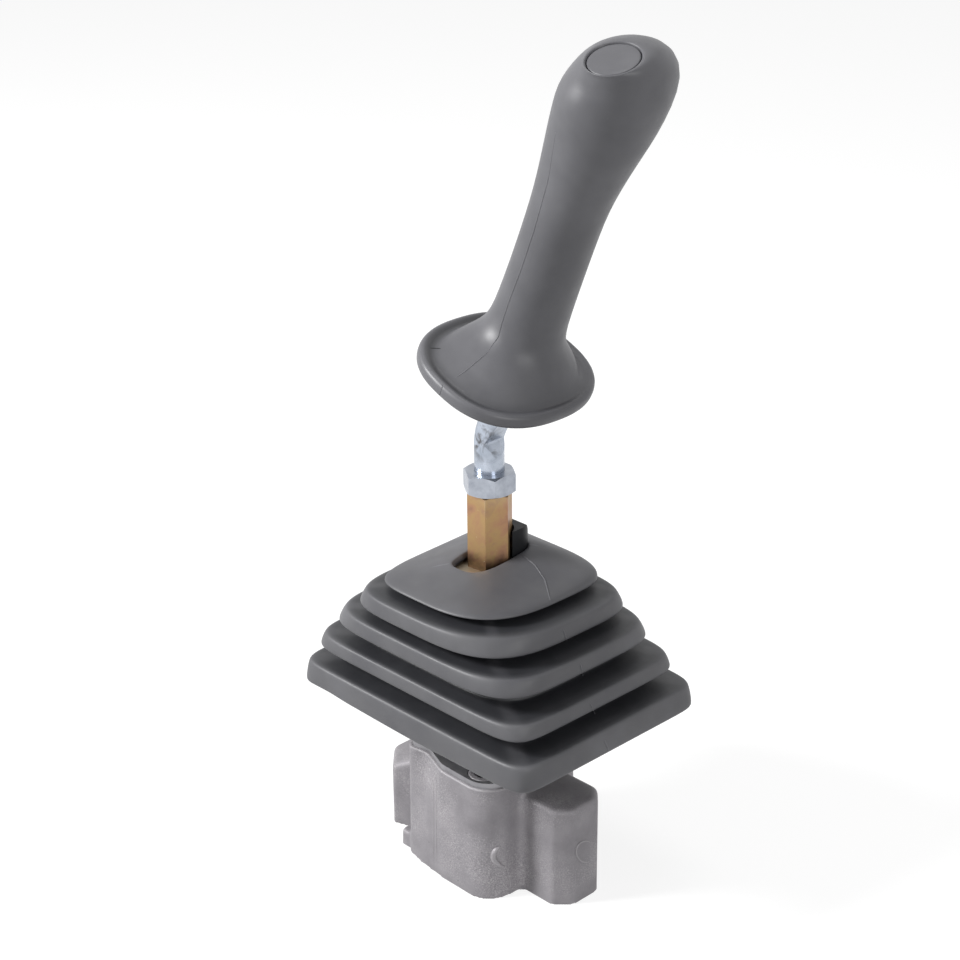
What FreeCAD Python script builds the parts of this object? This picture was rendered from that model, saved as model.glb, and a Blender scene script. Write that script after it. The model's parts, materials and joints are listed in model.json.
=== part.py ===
import FreeCAD, Part
import math
import os

# Hydraulic pilot joystick valve, millimetres.
# The origin is the centre of the casting's underside, on the lever's axis at neutral, +Z up.
# The lever leans towards +X, and the grip's nose points towards +Y.

os.makedirs("parts", exist_ok=True)
V = FreeCAD.Vector
UP = V(0, 0, 1)

# Clearances
THREAD_GAP = 0.05
RUNNING_GAP = 0.05
SLIDE_GAP = 0.03
SEAT_GAP = 0.3

# Casting
deck_height = 60.0
lobe_narrow_side = 25.5
lobe_narrow_front = 32.7
lobe_narrow_radius = 4.0
lobe_wide_side = 36.4
lobe_wide_front = 37.7
lobe_wide_radius = 14.0
lobe_wide_draw = 0.8
lobe_side_bend = 12.0
lobe_notch_place = 13.5
lobe_notch_deck = 30.4
lobe_notch_base = 35.3
lobe_bulge_place = 3.0
lobe_bulge_drop = 0.7
lobe_wave_radius = 10.0
valley_radius = 4.0
ear_root_depth = 7.0
ear_width = 31.0
ear_reach = 63.0
ear_end_face = 16.5
ear_chamfer = 7.0
ear_corner_radius = 3.0
ear_height_tank = 52.0
ear_height_pressure = 43.0
ear_top_round = 3.0
base_pad_height = 8.5
base_pad_side = 33.5
base_pad_front = 31.2
base_pad_radius = 2.5

# Ports on the underside and the fixing bores through the wide corners
port_tap_radius = 5.72
port_depth = 12.0
port_spot_radius = 10.5
port_spot_depth = 0.8
ear_port_offset = 47.0
gallery_radius = 3.0
gallery_height = 18.0
fixing_bore_radius = 4.5
fixing_circle = 70.0
fixing_angle = -50.0
fixing_boss_radius = 7.5

# Cover plate on the deck
plate_thickness = 3.0
plate_inset = 1.2
cover_screw_radius = 3.0
cover_screw_head = 5.8
cover_screw_length = 14.0
cover_screw_circle = 60.0
cover_screw_angle = 52.0
cover_screw_socket = 4.0
cover_screw_spare = 2.0

# Four stations of push rod, springs and spool
STATIONS = 4
station_radius = 20.0
push_rod_radius = 4.0
push_rod_tip_radius = 3.0
push_rod_tip_length = 4.5
push_rod_foot_radius = 6.2
push_rod_foot = 2.5
push_rod_bore = 2.4
push_rod_bore_depth = 11.0
push_rod_rise = 7.0
tip_gap = 0.5
guide_radius = 8.0
guide_length = 9.0
guide_seal_depth = 3.0
guide_seal_radius = 5.6
guide_ring_height = 3.5
guide_ring_section = 1.6
chamber_radius = 7.6
chamber_depth = 35.0
spring_seat_thickness = 2.5
spring_seat_radius = 7.2
return_wire = 1.2
return_coil_radius = 6.2
return_turns = 5.0
metering_wire = 0.8
metering_coil_radius = 3.3
metering_turns = 5.0
spool_radius = 4.0
spool_land = 10.5
spool_groove = 0.8
spool_stem_radius = 2.1
spool_stem_engagement = 3.5
spool_foot_room = 1.0
COIL_STEPS = 12

# Universal joint under the swash disc
joint_thread_radius = 6.0
joint_thread_length = 17.0
joint_hex_flats = 22.0
joint_hex_height = 6.5
yoke_reach = 8.5
yoke_gap = 11.0
yoke_ear = 3.5
yoke_ear_radius = 5.0
yoke_shoulder = 4.5
cross_pin_radius = 2.5
cross_block = 10.4

# Swash disc and its nut
disc_radius = 27.0
disc_rim = 4.0
disc_inner_radius = 15.5
disc_hub_radius = 11.5
disc_hub_length = 10.0
disc_roof = 4.0
stud_radius = 6.0
disc_nut_flats = 19.0
disc_nut_height = 7.0

# Lever stack
coupling_flats = 19.0
coupling_length = 84.3
coupling_hex_length = 37.3
coupling_turn = 5.0
coupling_shank_radius = 8.6
coupling_thread_depth = 22.0
stud_engagement = 14.0
boot_washer_radius = 20.5
boot_washer_thickness = 1.6
snap_ring_width = 1.4
snap_ring_reach = 2.4
snap_ring_groove = 0.7
lock_nut_flats = 22.0
lock_nut_height = 10.0
lock_nut_turn = 27.4
rod_radius = 7.0
rod_engagement = 18.0
rod_bend_above_nut = 17.1
rod_bend_radius = 26.0
lever_lean = 22.8
rod_end_radius = 5.0
rod_end_length = 15.0
rod_end_room = 3.0

# Notch in the inner side of the bend: its valley, and where its two facets leave the rod
rod_notch_depth = 3.95
rod_notch_below_bend = 2.2
rod_notch_reach = 5.0
rod_notch_lower = 9.0
rod_notch_upper = 13.6
rod_notch_round = 1.5

# Neck insert beside the coupling, standing on the boot's washer
insert_height = 18.0
insert_front_height = 9.5
insert_near = 4.0
insert_bend = 14.5
insert_far = 20.0
insert_gap = 0.5

# Grip, along the leaning part of the rod, measured from the bend
skirt_start = 40.0
skirt_thickness = 7.0
skirt_width = 70.2
skirt_length = 80.4
skirt_side = 3.0
skirt_shift = -7.5
skirt_square = 2.5
skirt_wall = 3.0
skirt_edge_round = 2.4
skirt_blend_step = 4.5
skirt_blend_rise = 1.6
# Blend into the neck: half sizes as shares of the neck's radius, share of the skirt's offset, rise, squareness
skirt_blend = [
    (1.48, 1.72, 0.65, 4.6, 2.4),
    (1.22, 1.32, 0.32, 9.6, 2.1),
    (1.09, 1.12, 0.12, 15.0, 2.0),
]
grip_neck_radius = 16.3
grip_head_top = 202.5
# Neck and head: half sizes as shares of the neck's radius, offsets to +X and +Y, distance below the top
grip_levels = [
    (1.02, 1.02, 0.0, 0.0, 134.0),
    (0.98, 1.00, 0.0, 0.2, 100.0),
    (1.00, 1.04, 0.0, 0.4, 73.0),
    (1.153, 1.24, 0.0, 3.1, 55.0),
    (1.315, 1.366, 0.0, 4.3, 40.0),
    (1.359, 1.504, 0.0, 4.8, 27.0),
    (1.271, 1.645, 0.0, 6.8, 17.0),
    (0.986, 1.293, 0.0, 7.0, 8.0),
    (0.57, 0.694, 0.0, 5.9, 2.2),
    (0.219, 0.28, 0.0, 6.0, 0.0),
]
OVAL_POINTS = 20
grip_bore_gap = 0.1
sleeve_wall = 2.0
sleeve_margin = 6.0
grip_well_radius = 10.6
grip_nut_flats = 16.0
grip_nut_height = 8.0
grip_washer_radius = 9.6
grip_washer_thickness = 2.0
cap_radius = 10.9
cap_thickness = 3.4
cap_stem_radius = 8.4
cap_stem_length = 7.0
cap_place = (3.0, -7.0, 197.4)
cap_lean_front = 22.0
cap_lean_side = 14.0
cap_boss_top = 12.6
cap_boss_foot = 17.5
cap_boss_height = 14.0

# Rubber boot: half sizes and height of each rim's lower edge, from the hem up
boot_wall = 2.8
boot_rims = [
    (77.2, 59.8, 87.2, 7.4, 10.0),
    (69.5, 52.9, 106.8, 5.5, 9.0),
    (60.8, 48.4, 122.3, 5.0, 10.0),
    (50.8, 42.5, 136.1, 4.5, 11.0),
]
boot_fold_depth = 8.5
boot_fold_drop = 4.6
boot_rim_draft = 1.6
hem_shift = 1.7
dome_edge = (40.0, 37.5, 146.0)
dome_corner = 14.0
dome_fold_rise = 3.0
dome_fold_drop = 3.5
dome_levels = [
    (0.97, 0.22, 0.0),
    (0.86, 0.55, 0.25),
    (0.62, 0.83, 0.7),
]
dome_hole = (11.3, 19.6)
dome_hole_shift = 1.0
dome_top = 161.0
dome_tilt = 7.0
dome_wall = 2.6

# Heights that follow
pi = math.pi
plate_top = deck_height + plate_thickness
guide_bottom = deck_height - guide_length
foot_top = guide_bottom - push_rod_rise
foot_bottom = foot_top - push_rod_foot
seat_bottom = foot_bottom - spring_seat_thickness
chamber_floor = deck_height - chamber_depth
spool_bottom = port_depth + spool_foot_room
spool_shoulder = spool_bottom + spool_land
spool_stem_top = foot_bottom + spool_stem_engagement
joint_base_top = plate_top + joint_hex_height
pivot_height = joint_base_top + yoke_reach
rod_tip_height = pivot_height - tip_gap
yoke_bridge = pivot_height + yoke_reach
hub_seat = yoke_bridge + yoke_shoulder
hub_top = hub_seat + disc_hub_length
coupling_bottom = hub_top + disc_nut_height
coupling_top = coupling_bottom + coupling_length
hex_bottom = coupling_top - coupling_hex_length
washer_bottom = hex_bottom - boot_washer_thickness
nut_top = coupling_top + lock_nut_height
bend_height = nut_top + rod_bend_above_nut
stud_top = coupling_bottom + stud_engagement
cap_foot = cap_place[2] - cap_thickness - cap_stem_length
rod_grip_length = cap_foot - rod_end_length - rod_end_room


def save(name, shape):
    """Write one node, and print its volume and whether it is sound."""
    print("%-20s %9.0f mm3 %s %d solid(s)" % (name, shape.Volume, shape.isValid(), len(shape.Solids)))
    shape.exportStep("parts/%s.step" % name)


def cylinder(radius, low, high, x=0.0, y=0.0):
    return Part.makeCylinder(radius, high - low, V(x, y, low), UP)


def turned(profile, x=0.0, y=0.0):
    """Turn a closed outline of (radius, height) points about the vertical through x, y."""
    points = [V(r, 0, z) for r, z in profile]
    face = Part.Face(Part.makePolygon(points + points[:1]))
    shape = face.revolve(V(0, 0, 0), UP, 360)
    shape.translate(V(x, y, 0))
    return shape


def hexagon(flats, low, high):
    """Hexagonal bar whose faces look along the six directions from +Y."""
    corner = flats / math.sqrt(3)
    points = [V(corner * math.cos(k * pi / 3), corner * math.sin(k * pi / 3), low) for k in range(6)]
    return Part.Face(Part.makePolygon(points + points[:1])).extrude(V(0, 0, high - low))


def chamfered_hexagon(flats, low, high, top=True, bottom=True):
    """Hexagonal bar with its corners turned off at one or both ends."""
    corner = flats / math.sqrt(3)
    cut = corner - flats / 2 + 0.1
    drop = cut * math.tan(math.radians(30))
    profile = [(0, low)]
    profile += [(corner - cut, low), (corner, low + drop)] if bottom else [(corner, low)]
    profile += [(corner, high - drop), (corner - cut, high)] if top else [(corner, high)]
    profile += [(0, high)]
    return hexagon(flats, low, high).common(turned(profile))


def rounded_outline(corners, height=0.0):
    """Closed outline through corners (x, y, radius), each corner rounded by a tangent arc."""
    ends = []
    count = len(corners)
    for k in range(count):
        x, y, radius = corners[k]
        here = V(x, y, height)
        before = V(*corners[k - 1][:2], height).sub(here)
        after = V(*corners[(k + 1) % count][:2], height).sub(here)
        before.normalize()
        after.normalize()
        half = before.getAngle(after) / 2
        reach = radius / math.tan(half)
        middle = before.add(after)
        middle.normalize()
        centre = here.add(middle.multiply(radius / math.sin(half)))
        inward = here.sub(centre)
        inward.normalize()
        ends.append((here.add(V(before).multiply(reach)), centre.add(inward.multiply(radius)),
                     here.add(V(after).multiply(reach))))
    edges = []
    for k in range(count):
        start, middle, end = ends[k]
        edges.append(Part.Arc(start, middle, end).toShape())
        following = ends[(k + 1) % count][0]
        if end.distanceToPoint(following) > 1e-4:
            edges.append(Part.LineSegment(end, following).toShape())
    return Part.Wire(edges)


def prism(wire, length):
    return Part.Face(wire).extrude(V(0, 0, length))


def half_turned(corners):
    """The same corners turned half round, so that the outline repeats on the far side."""
    return [(-x, -y, r) for x, y, r in corners]


def lobe_corners(notch, inset=0.0):
    """One half of the main lobe's outline: narrow corner, notch, bulge, wide corner, bend of the side."""
    front = lobe_wide_front - inset
    return [
        (inset - lobe_narrow_side, inset - lobe_narrow_front, lobe_narrow_radius),
        (-lobe_notch_place, inset - notch, lobe_wave_radius),
        (lobe_bulge_place, lobe_bulge_drop - front, lobe_wave_radius),
        (lobe_wide_side - lobe_wide_draw - inset, -front, lobe_wide_radius - inset),
        (lobe_wide_side - inset, -lobe_side_bend, lobe_wide_radius),
    ]


def lobe_outline(notch, height, inset=0.0):
    half = lobe_corners(notch, inset)
    return rounded_outline(half + half_turned(half), height)


def lobe_side(y):
    """Distance of the lobe's +X wall from the centre at one y: steep beside the wide corner, then drawn in."""
    if y < -lobe_side_bend:
        return lobe_wide_side + lobe_wide_draw * (y + lobe_side_bend) / (lobe_wide_front - lobe_side_bend)
    drawn = (lobe_wide_side - lobe_narrow_side) / (lobe_narrow_front + lobe_side_bend)
    return lobe_wide_side - drawn * (y + lobe_side_bend)


def ear(top):
    """The ear on +X, with the valleys that part it from the lobe and its upper edges rounded."""
    half = ear_width / 2
    nose = ear_end_face / 2
    root = half + 2 * valley_radius
    inner = lobe_side(root) - ear_root_depth
    outline = rounded_outline([
        (inner, -root, 1),
        (lobe_side(-root), -root, 1),
        (lobe_side(-half), -half, valley_radius),
        (ear_reach - ear_chamfer, -half, ear_corner_radius),
        (ear_reach, -nose, ear_corner_radius),
        (ear_reach, nose, ear_corner_radius),
        (ear_reach - ear_chamfer, half, ear_corner_radius),
        (lobe_side(half), half, valley_radius),
        (lobe_side(root), root, 1),
        (inner, root, 1)])
    block = prism(outline, top)
    upper = [e for e in block.Edges if all(abs(v.Z - top) < 1e-3 and v.X > inner + 2 for v in e.Vertexes)]
    return block.makeFillet(ear_top_round, upper)


def station_place(index):
    angle = 2 * pi * index / STATIONS
    return station_radius * math.cos(angle), station_radius * math.sin(angle)


def on_circle(diameter, degrees):
    angle = math.radians(degrees)
    return diameter / 2 * math.cos(angle), diameter / 2 * math.sin(angle)


def fixing_places():
    return [on_circle(fixing_circle, fixing_angle + turn) for turn in (0, 180)]


def cover_screw_places():
    return [on_circle(cover_screw_circle, cover_screw_angle + turn) for turn in (0, 180)]


def base_pads():
    """Low pads that fill the base's outline between the narrow corners and the ears."""
    corner = [(-base_pad_side, -base_pad_front), (0, -base_pad_front), (0, 0), (-base_pad_side, 0)]
    pad = prism(rounded_outline([(x, y, base_pad_radius) for x, y in corner]), base_pad_height)
    twin = pad.copy()
    twin.rotate(V(0, 0, 0), UP, 180)
    return pad.fuse(twin)


def valve_body():
    body = Part.makeLoft([lobe_outline(lobe_notch_base, 0), lobe_outline(lobe_notch_deck, deck_height)], True, True)
    pressure_ear = ear(ear_height_pressure)
    pressure_ear.rotate(V(0, 0, 0), UP, 180)
    body = body.fuse([ear(ear_height_tank), pressure_ear, base_pads()])
    for x, y in fixing_places():
        body = body.fuse(cylinder(fixing_boss_radius, deck_height - 1, plate_top, x, y))
    body = body.cut(cylinder(joint_thread_radius + THREAD_GAP, deck_height - joint_thread_length - 2, plate_top))
    for x, y in fixing_places():
        body = body.cut(cylinder(fixing_bore_radius, 0, plate_top, x, y))
    for x, y in cover_screw_places():
        bottom = plate_top - cover_screw_length - cover_screw_spare
        body = body.cut(cylinder(cover_screw_radius + THREAD_GAP, bottom, plate_top, x, y))
    for index in range(STATIONS):
        body = body.cut(station_bore(*station_place(index)))
    for side in (-1, 1):
        body = body.cut(ear_port(side))
    return body


def station_bore(x, y):
    """Stepped bore of one station: guide seat, spring chamber, spool bore, work port."""
    return turned([
        (0, 0), (port_spot_radius, 0), (port_spot_radius, port_spot_depth), (port_tap_radius, port_spot_depth),
        (port_tap_radius, port_depth), (spool_radius + SLIDE_GAP, port_depth),
        (spool_radius + SLIDE_GAP, chamber_floor), (chamber_radius, chamber_floor),
        (chamber_radius, guide_bottom), (guide_radius + SLIDE_GAP, guide_bottom),
        (guide_radius + SLIDE_GAP, deck_height), (0, deck_height)], x, y)


def ear_port(side):
    """Supply or tank port under an ear, with the gallery that feeds the spool beside it."""
    x = side * ear_port_offset
    bore = turned([
        (0, 0), (port_spot_radius, 0), (port_spot_radius, port_spot_depth),
        (port_tap_radius, port_spot_depth), (port_tap_radius, port_depth),
        (gallery_radius, port_depth), (gallery_radius, gallery_height), (0, gallery_height)], x, 0)
    length = ear_port_offset - station_radius
    gallery = Part.makeCylinder(gallery_radius, length, V(x, 0, gallery_height), V(-side, 0, 0))
    return bore.fuse(gallery)


def cover_plate():
    plate = prism(lobe_outline(lobe_notch_deck, deck_height, plate_inset), plate_thickness)
    plate = plate.cut(cylinder(joint_thread_radius + 2 * THREAD_GAP, deck_height, plate_top))
    for x, y in fixing_places():
        plate = plate.cut(cylinder(fixing_boss_radius + SEAT_GAP, deck_height, plate_top, x, y))
    for index in range(STATIONS):
        x, y = station_place(index)
        plate = plate.cut(cylinder(push_rod_radius + 2 * SEAT_GAP, deck_height, plate_top, x, y))
    for x, y in cover_screw_places():
        sink = turned([(0, deck_height), (cover_screw_radius + SEAT_GAP, deck_height),
                       (cover_screw_radius + SEAT_GAP, plate_top - cover_screw_head + cover_screw_radius),
                       (cover_screw_head + SEAT_GAP, plate_top), (0, plate_top)], x, y)
        plate = plate.cut(sink)
    return plate


def cover_screws():
    screws = []
    for x, y in cover_screw_places():
        cone_foot = plate_top - cover_screw_head + cover_screw_radius
        screw = turned([(0, plate_top - cover_screw_length), (cover_screw_radius, plate_top - cover_screw_length),
                        (cover_screw_radius, cone_foot), (cover_screw_head, plate_top), (0, plate_top)], x, y)
        socket = hexagon(cover_screw_socket, plate_top - cover_screw_radius, plate_top)
        socket.translate(V(x, y, 0))
        screws.append(screw.cut(socket))
    return Part.makeCompound(screws)


def joint_base():
    """Fixed yoke: its stud goes through the plate into the casting, its ears stand on +Y and -Y."""
    stud = cylinder(joint_thread_radius, deck_height - joint_thread_length, plate_top)
    body = chamfered_hexagon(joint_hex_flats, plate_top, joint_base_top, True, False).fuse(stud)
    return body.fuse(yoke_ears("Y", joint_base_top, pivot_height)).cut(pin_bore("Y"))


def yoke_ears(axis, start, pivot):
    """Two ears beside the cross, rounded about the pin, from a bridge at start to the pivot."""
    low = min(start, pivot)
    high = max(start, pivot)
    ears = []
    for side in (-1, 1):
        inner = side * yoke_gap / 2
        outer = side * (yoke_gap / 2 + yoke_ear)
        edge = min(inner, outer)
        plate = Part.makeBox(2 * yoke_ear_radius, yoke_ear, high - low, V(-yoke_ear_radius, edge, low))
        disc = Part.makeCylinder(yoke_ear_radius, yoke_ear, V(0, edge, pivot), V(0, 1, 0))
        ears.append(plate.fuse(disc))
    pair = ears[0].fuse(ears[1])
    if axis == "X":
        pair.rotate(V(0, 0, 0), UP, 90)
    return pair


def pin_bore(axis):
    direction = V(0, 1, 0) if axis == "Y" else V(1, 0, 0)
    length = yoke_gap + 2 * yoke_ear + 2
    start = V(0, 0, pivot_height).sub(V(direction).multiply(length / 2))
    return Part.makeCylinder(cross_pin_radius + RUNNING_GAP, length, start, direction)


def joint_cross():
    half = cross_block / 2
    block = Part.makeBox(cross_block, cross_block, cross_block, V(-half, -half, pivot_height - half))
    block = block.common(Part.makeSphere(half * 1.45, V(0, 0, pivot_height)))
    for direction in (V(1, 0, 0), V(0, 1, 0)):
        start = V(0, 0, pivot_height).sub(V(direction).multiply(cross_block))
        block = block.cut(Part.makeCylinder(cross_pin_radius + 0.01, 2 * cross_block, start, direction))
    return block


def cross_pin_long():
    length = yoke_gap + 2 * yoke_ear - 0.2
    return Part.makeCylinder(cross_pin_radius, length, V(0, -length / 2, pivot_height), V(0, 1, 0))


def cross_pins_short():
    length = (yoke_gap + 2 * yoke_ear - 0.2) / 2 - cross_pin_radius - SEAT_GAP
    start = cross_pin_radius + SEAT_GAP
    right = Part.makeCylinder(cross_pin_radius, length, V(start, 0, pivot_height), V(1, 0, 0))
    left = Part.makeCylinder(cross_pin_radius, length, V(-start, 0, pivot_height), V(-1, 0, 0))
    return Part.makeCompound([right, left])


def joint_yoke():
    """Moving yoke: ears on +X and -X below its bridge, and the stud that carries the lever."""
    bridge_radius = yoke_gap / 2 + yoke_ear
    body = cylinder(bridge_radius, yoke_bridge, hub_seat).fuse(cylinder(stud_radius, hub_seat, stud_top))
    return body.fuse(yoke_ears("X", yoke_bridge, pivot_height)).cut(pin_bore("X"))


def swash_disc():
    """Bell-shaped disc: the rim's flat underside lies at the pivot's height and presses the rods."""
    cavity = disc_inner_radius - 1
    cavity_top = hub_seat - 3
    return turned([
        (stud_radius + THREAD_GAP, hub_seat), (yoke_gap / 2 + yoke_ear + 1.5, hub_seat),
        (cavity, cavity_top), (disc_inner_radius, pivot_height), (disc_radius - 0.8, pivot_height),
        (disc_radius, pivot_height + 0.8), (disc_radius, pivot_height + disc_rim),
        (disc_inner_radius + disc_roof, pivot_height + disc_rim + 1.5), (cavity + disc_roof, cavity_top + 1),
        (disc_hub_radius, hub_top - 2), (disc_hub_radius - 1, hub_top), (stud_radius + THREAD_GAP, hub_top)])


def disc_lock_nut():
    nut = chamfered_hexagon(disc_nut_flats, hub_top, coupling_bottom, False, True)
    return nut.cut(cylinder(stud_radius + THREAD_GAP, hub_top, coupling_bottom))


def hex_coupling():
    """Long coupling nut: a hexagon above the boot, a turned shank below, tapped at both ends."""
    groove_top = washer_bottom
    groove = groove_top - snap_ring_width
    body = chamfered_hexagon(coupling_flats, hex_bottom, coupling_top, True, False)
    body.rotate(V(0, 0, 0), UP, coupling_turn)
    shank = turned([
        (0, coupling_bottom), (coupling_shank_radius - 0.8, coupling_bottom),
        (coupling_shank_radius, coupling_bottom + 0.8), (coupling_shank_radius, groove),
        (coupling_shank_radius - snap_ring_groove, groove), (coupling_shank_radius - snap_ring_groove, groove_top),
        (coupling_shank_radius, groove_top), (coupling_shank_radius, hex_bottom), (0, hex_bottom)])
    body = body.fuse(shank)
    body = body.cut(cylinder(stud_radius + THREAD_GAP, coupling_bottom, stud_top + 1))
    return body.cut(cylinder(rod_radius + THREAD_GAP, coupling_top - coupling_thread_depth, coupling_top))


def boot_washer():
    hole = coupling_shank_radius + RUNNING_GAP
    return cylinder(boot_washer_radius, washer_bottom, hex_bottom).cut(cylinder(hole, washer_bottom, hex_bottom))


def snap_ring():
    low = washer_bottom - snap_ring_width
    inner = coupling_shank_radius - snap_ring_groove + SLIDE_GAP
    ring = cylinder(coupling_shank_radius + snap_ring_reach, low, washer_bottom)
    ring = ring.cut(cylinder(inner, low, washer_bottom))
    slot = Part.makeBox(2 * coupling_shank_radius, 3, snap_ring_width, V(-2 * coupling_shank_radius, -1.5, low))
    return ring.cut(slot)


def neck_insert():
    """Rubber plug in the +Y end of the boot's hole, behind the hexagon, sloping down to the front."""
    half_x = dome_hole[0] - insert_gap
    half_y = dome_hole[1] - insert_gap
    corner = half_x - insert_gap
    outline = [(half_x, half_y, corner), (-half_x, half_y, corner), (-half_x, -half_y, corner),
               (half_x, -half_y, corner)]
    plug = prism(rounded_outline([(x, y + dome_hole_shift, r) for x, y, r in outline], hex_bottom), insert_height)
    top = hex_bottom + insert_height
    low = hex_bottom + insert_front_height
    side = [(insert_near, hex_bottom), (insert_far + 1, hex_bottom), (insert_far + 1, low), (insert_far, low),
            (insert_bend, top), (insert_near, top)]
    points = [V(-half_x, y, z) for y, z in side]
    plug = plug.common(Part.Face(Part.makePolygon(points + points[:1])).extrude(V(2 * half_x, 0, 0)))
    bore = coupling_flats / math.sqrt(3) + SEAT_GAP
    return plug.cut(cylinder(bore, hex_bottom, top))


def lock_nut():
    nut = chamfered_hexagon(lock_nut_flats, coupling_top, nut_top)
    nut = nut.cut(cylinder(rod_radius + THREAD_GAP, coupling_top, nut_top))
    nut.rotate(V(0, 0, 0), UP, lock_nut_turn)
    return nut


def leaning(shape):
    """Set a shape that was made along +Z from the bend onto the leaning part of the lever."""
    shape.rotate(V(0, 0, 0), V(0, 1, 0), lever_lean)
    shape.translate(V(0, 0, bend_height))
    return shape


def lever_rod():
    """Plated rod: straight up out of the nut, bent towards +X, turned down at its upper end."""
    reach = rod_bend_radius * math.tan(math.radians(lever_lean / 2))
    lean = math.radians(lever_lean)
    start = V(0, 0, coupling_top - rod_engagement)
    bend_start = V(0, 0, bend_height - reach)
    bend_end = V(reach * math.sin(lean), 0, bend_height + reach * math.cos(lean))
    half = lean / 2
    bend_middle = V(rod_bend_radius * (1 - math.cos(half)), 0, bend_height - reach + rod_bend_radius * math.sin(half))
    along = V(math.sin(lean), 0, math.cos(lean))
    end = V(0, 0, bend_height).add(V(along).multiply(rod_grip_length))
    path = Part.Wire([Part.LineSegment(start, bend_start).toShape(),
                      Part.Arc(bend_start, bend_middle, bend_end).toShape(),
                      Part.LineSegment(bend_end, end).toShape()])
    section = Part.Wire([Part.makeCircle(rod_radius, start, UP)])
    rod = path.makePipeShell([section], True, False)
    tip = Part.makeCylinder(rod_end_radius, rod_end_length, end, along)
    return rod.fuse(tip).cut(rod_notch())


def rod_notch():
    """Wedge along Y that takes the notch out of the inner side of the bend."""
    valley = bend_height - rod_notch_below_bend
    floor = rod_radius - rod_notch_depth
    section = [(floor, valley), (rod_radius + rod_notch_reach, valley - rod_notch_lower * 1.5),
               (rod_radius + 2 * rod_notch_reach, valley - rod_notch_lower),
               (rod_radius + 2 * rod_notch_reach, valley + rod_notch_upper * 1.5),
               (rod_radius + rod_notch_reach, valley + rod_notch_upper)]
    points = [V(x, -2 * rod_radius, z) for x, z in section]
    wedge = Part.Face(Part.makePolygon(points + points[:1])).extrude(V(0, 4 * rod_radius, 0))
    edge = [e for e in wedge.Edges if all(abs(v.X - floor) < 1e-3 for v in e.Vertexes)]
    return wedge.makeFillet(rod_notch_round, edge)


def oval(half_x, half_y, place, square=2.0):
    """Closed smooth outline about a place: a superellipse, rounder at 2, squarer above."""
    ring = []
    for k in range(OVAL_POINTS):
        angle = 2 * pi * k / OVAL_POINTS
        c = math.cos(angle)
        s = math.sin(angle)
        x = half_x * math.copysign(abs(c) ** (2 / square), c)
        y = half_y * math.copysign(abs(s) ** (2 / square), s)
        ring.append(V(x, y, 0))
    curve = Part.BSplineCurve()
    curve.interpolate(ring, PeriodicFlag=True)
    wire = Part.Wire([curve.toShape()])
    wire.translate(V(*place))
    return wire


def grip_sections():
    """Outlines of the grip from the skirt's rim, through its blend into the neck, to the head's top."""
    n = grip_neck_radius
    rim_top = skirt_start + skirt_thickness
    sections = [skirt_outline(-skirt_edge_round, rim_top),
                skirt_outline(-skirt_edge_round - skirt_blend_step, rim_top + skirt_blend_rise)]
    for wide, long, share, rise, square in skirt_blend:
        sections.append(oval(n * wide, n * long, (share * skirt_side, share * skirt_shift, rim_top + rise), square))
    for wide, long, side, shift, drop in grip_levels:
        sections.append(oval(n * wide, n * long, (side, shift, grip_head_top - drop)))
    return sections


def skirt_outline(grow, height):
    return oval(skirt_width / 2 + grow, skirt_length / 2 + grow, (skirt_side, skirt_shift, height), skirt_square)


def skirt_rim():
    """Rim of the flared hand guard, its edges rounded above and below."""
    edge = skirt_edge_round
    rim_top = skirt_start + skirt_thickness
    return Part.makeLoft([skirt_outline(-edge, skirt_start), skirt_outline(0, skirt_start + edge),
                          skirt_outline(0, rim_top - edge), skirt_outline(-edge, rim_top)], True, True)


def skirt_hollow():
    """Hollow under the hand guard, round the collar that holds the sleeve."""
    n = grip_neck_radius
    edge = skirt_edge_round
    roof = skirt_start + skirt_thickness - skirt_wall
    wide, long, share, rise, square = skirt_blend[0]
    hollow = Part.makeLoft([
        skirt_outline(-edge - skirt_wall, skirt_start - 1),
        skirt_outline(-edge - skirt_wall - 1, roof),
        oval(n * wide - skirt_wall - 1, n * long - skirt_wall - 1,
             (share * skirt_side, share * skirt_shift, roof + skirt_blend_rise), square)], True, True)
    collar = cylinder(rod_radius + sleeve_wall + skirt_wall, skirt_start - 2, skirt_start + 2 * skirt_thickness)
    return hollow.cut(collar)


def cap_frame(shape):
    """Set a shape made about the origin at the cap's seat, square to the head's sloping top."""
    shape.rotate(V(0, 0, 0), V(1, 0, 0), cap_lean_front)
    shape.rotate(V(0, 0, 0), V(0, 1, 0), -cap_lean_side)
    shape.translate(V(*cap_place))
    return leaning(shape)


def grip():
    body = Part.makeLoft(grip_sections(), True, False).fuse(skirt_rim()).cut(skirt_hollow())
    low = skirt_start - 3
    bore = cylinder(rod_radius + sleeve_wall + grip_bore_gap, low, rod_grip_length - grip_washer_thickness)
    rod_hole = cylinder(rod_radius + grip_bore_gap, low, rod_grip_length)
    well = cylinder(grip_well_radius, rod_grip_length, rod_grip_length + rod_end_length + rod_end_room)
    body = leaning(body.cut(bore).cut(rod_hole).cut(well))
    boss = Part.makeCone(cap_boss_foot, cap_boss_top, cap_boss_height, V(0, 0, cap_thickness / 2 - cap_boss_height), UP)
    well_room = leaning(cylinder(grip_well_radius, rod_grip_length, rod_grip_length + rod_end_length + rod_end_room))
    body = body.fuse(cap_frame(boss).cut(well_room))
    stem_foot = -cap_thickness / 2 - cap_stem_length - SEAT_GAP
    seat = cylinder(cap_radius + RUNNING_GAP, -cap_thickness / 2, 2 * cap_radius)
    seat = seat.fuse(cylinder(cap_stem_radius + RUNNING_GAP, stem_foot, 0))
    return body.cut(cap_frame(seat))


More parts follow.
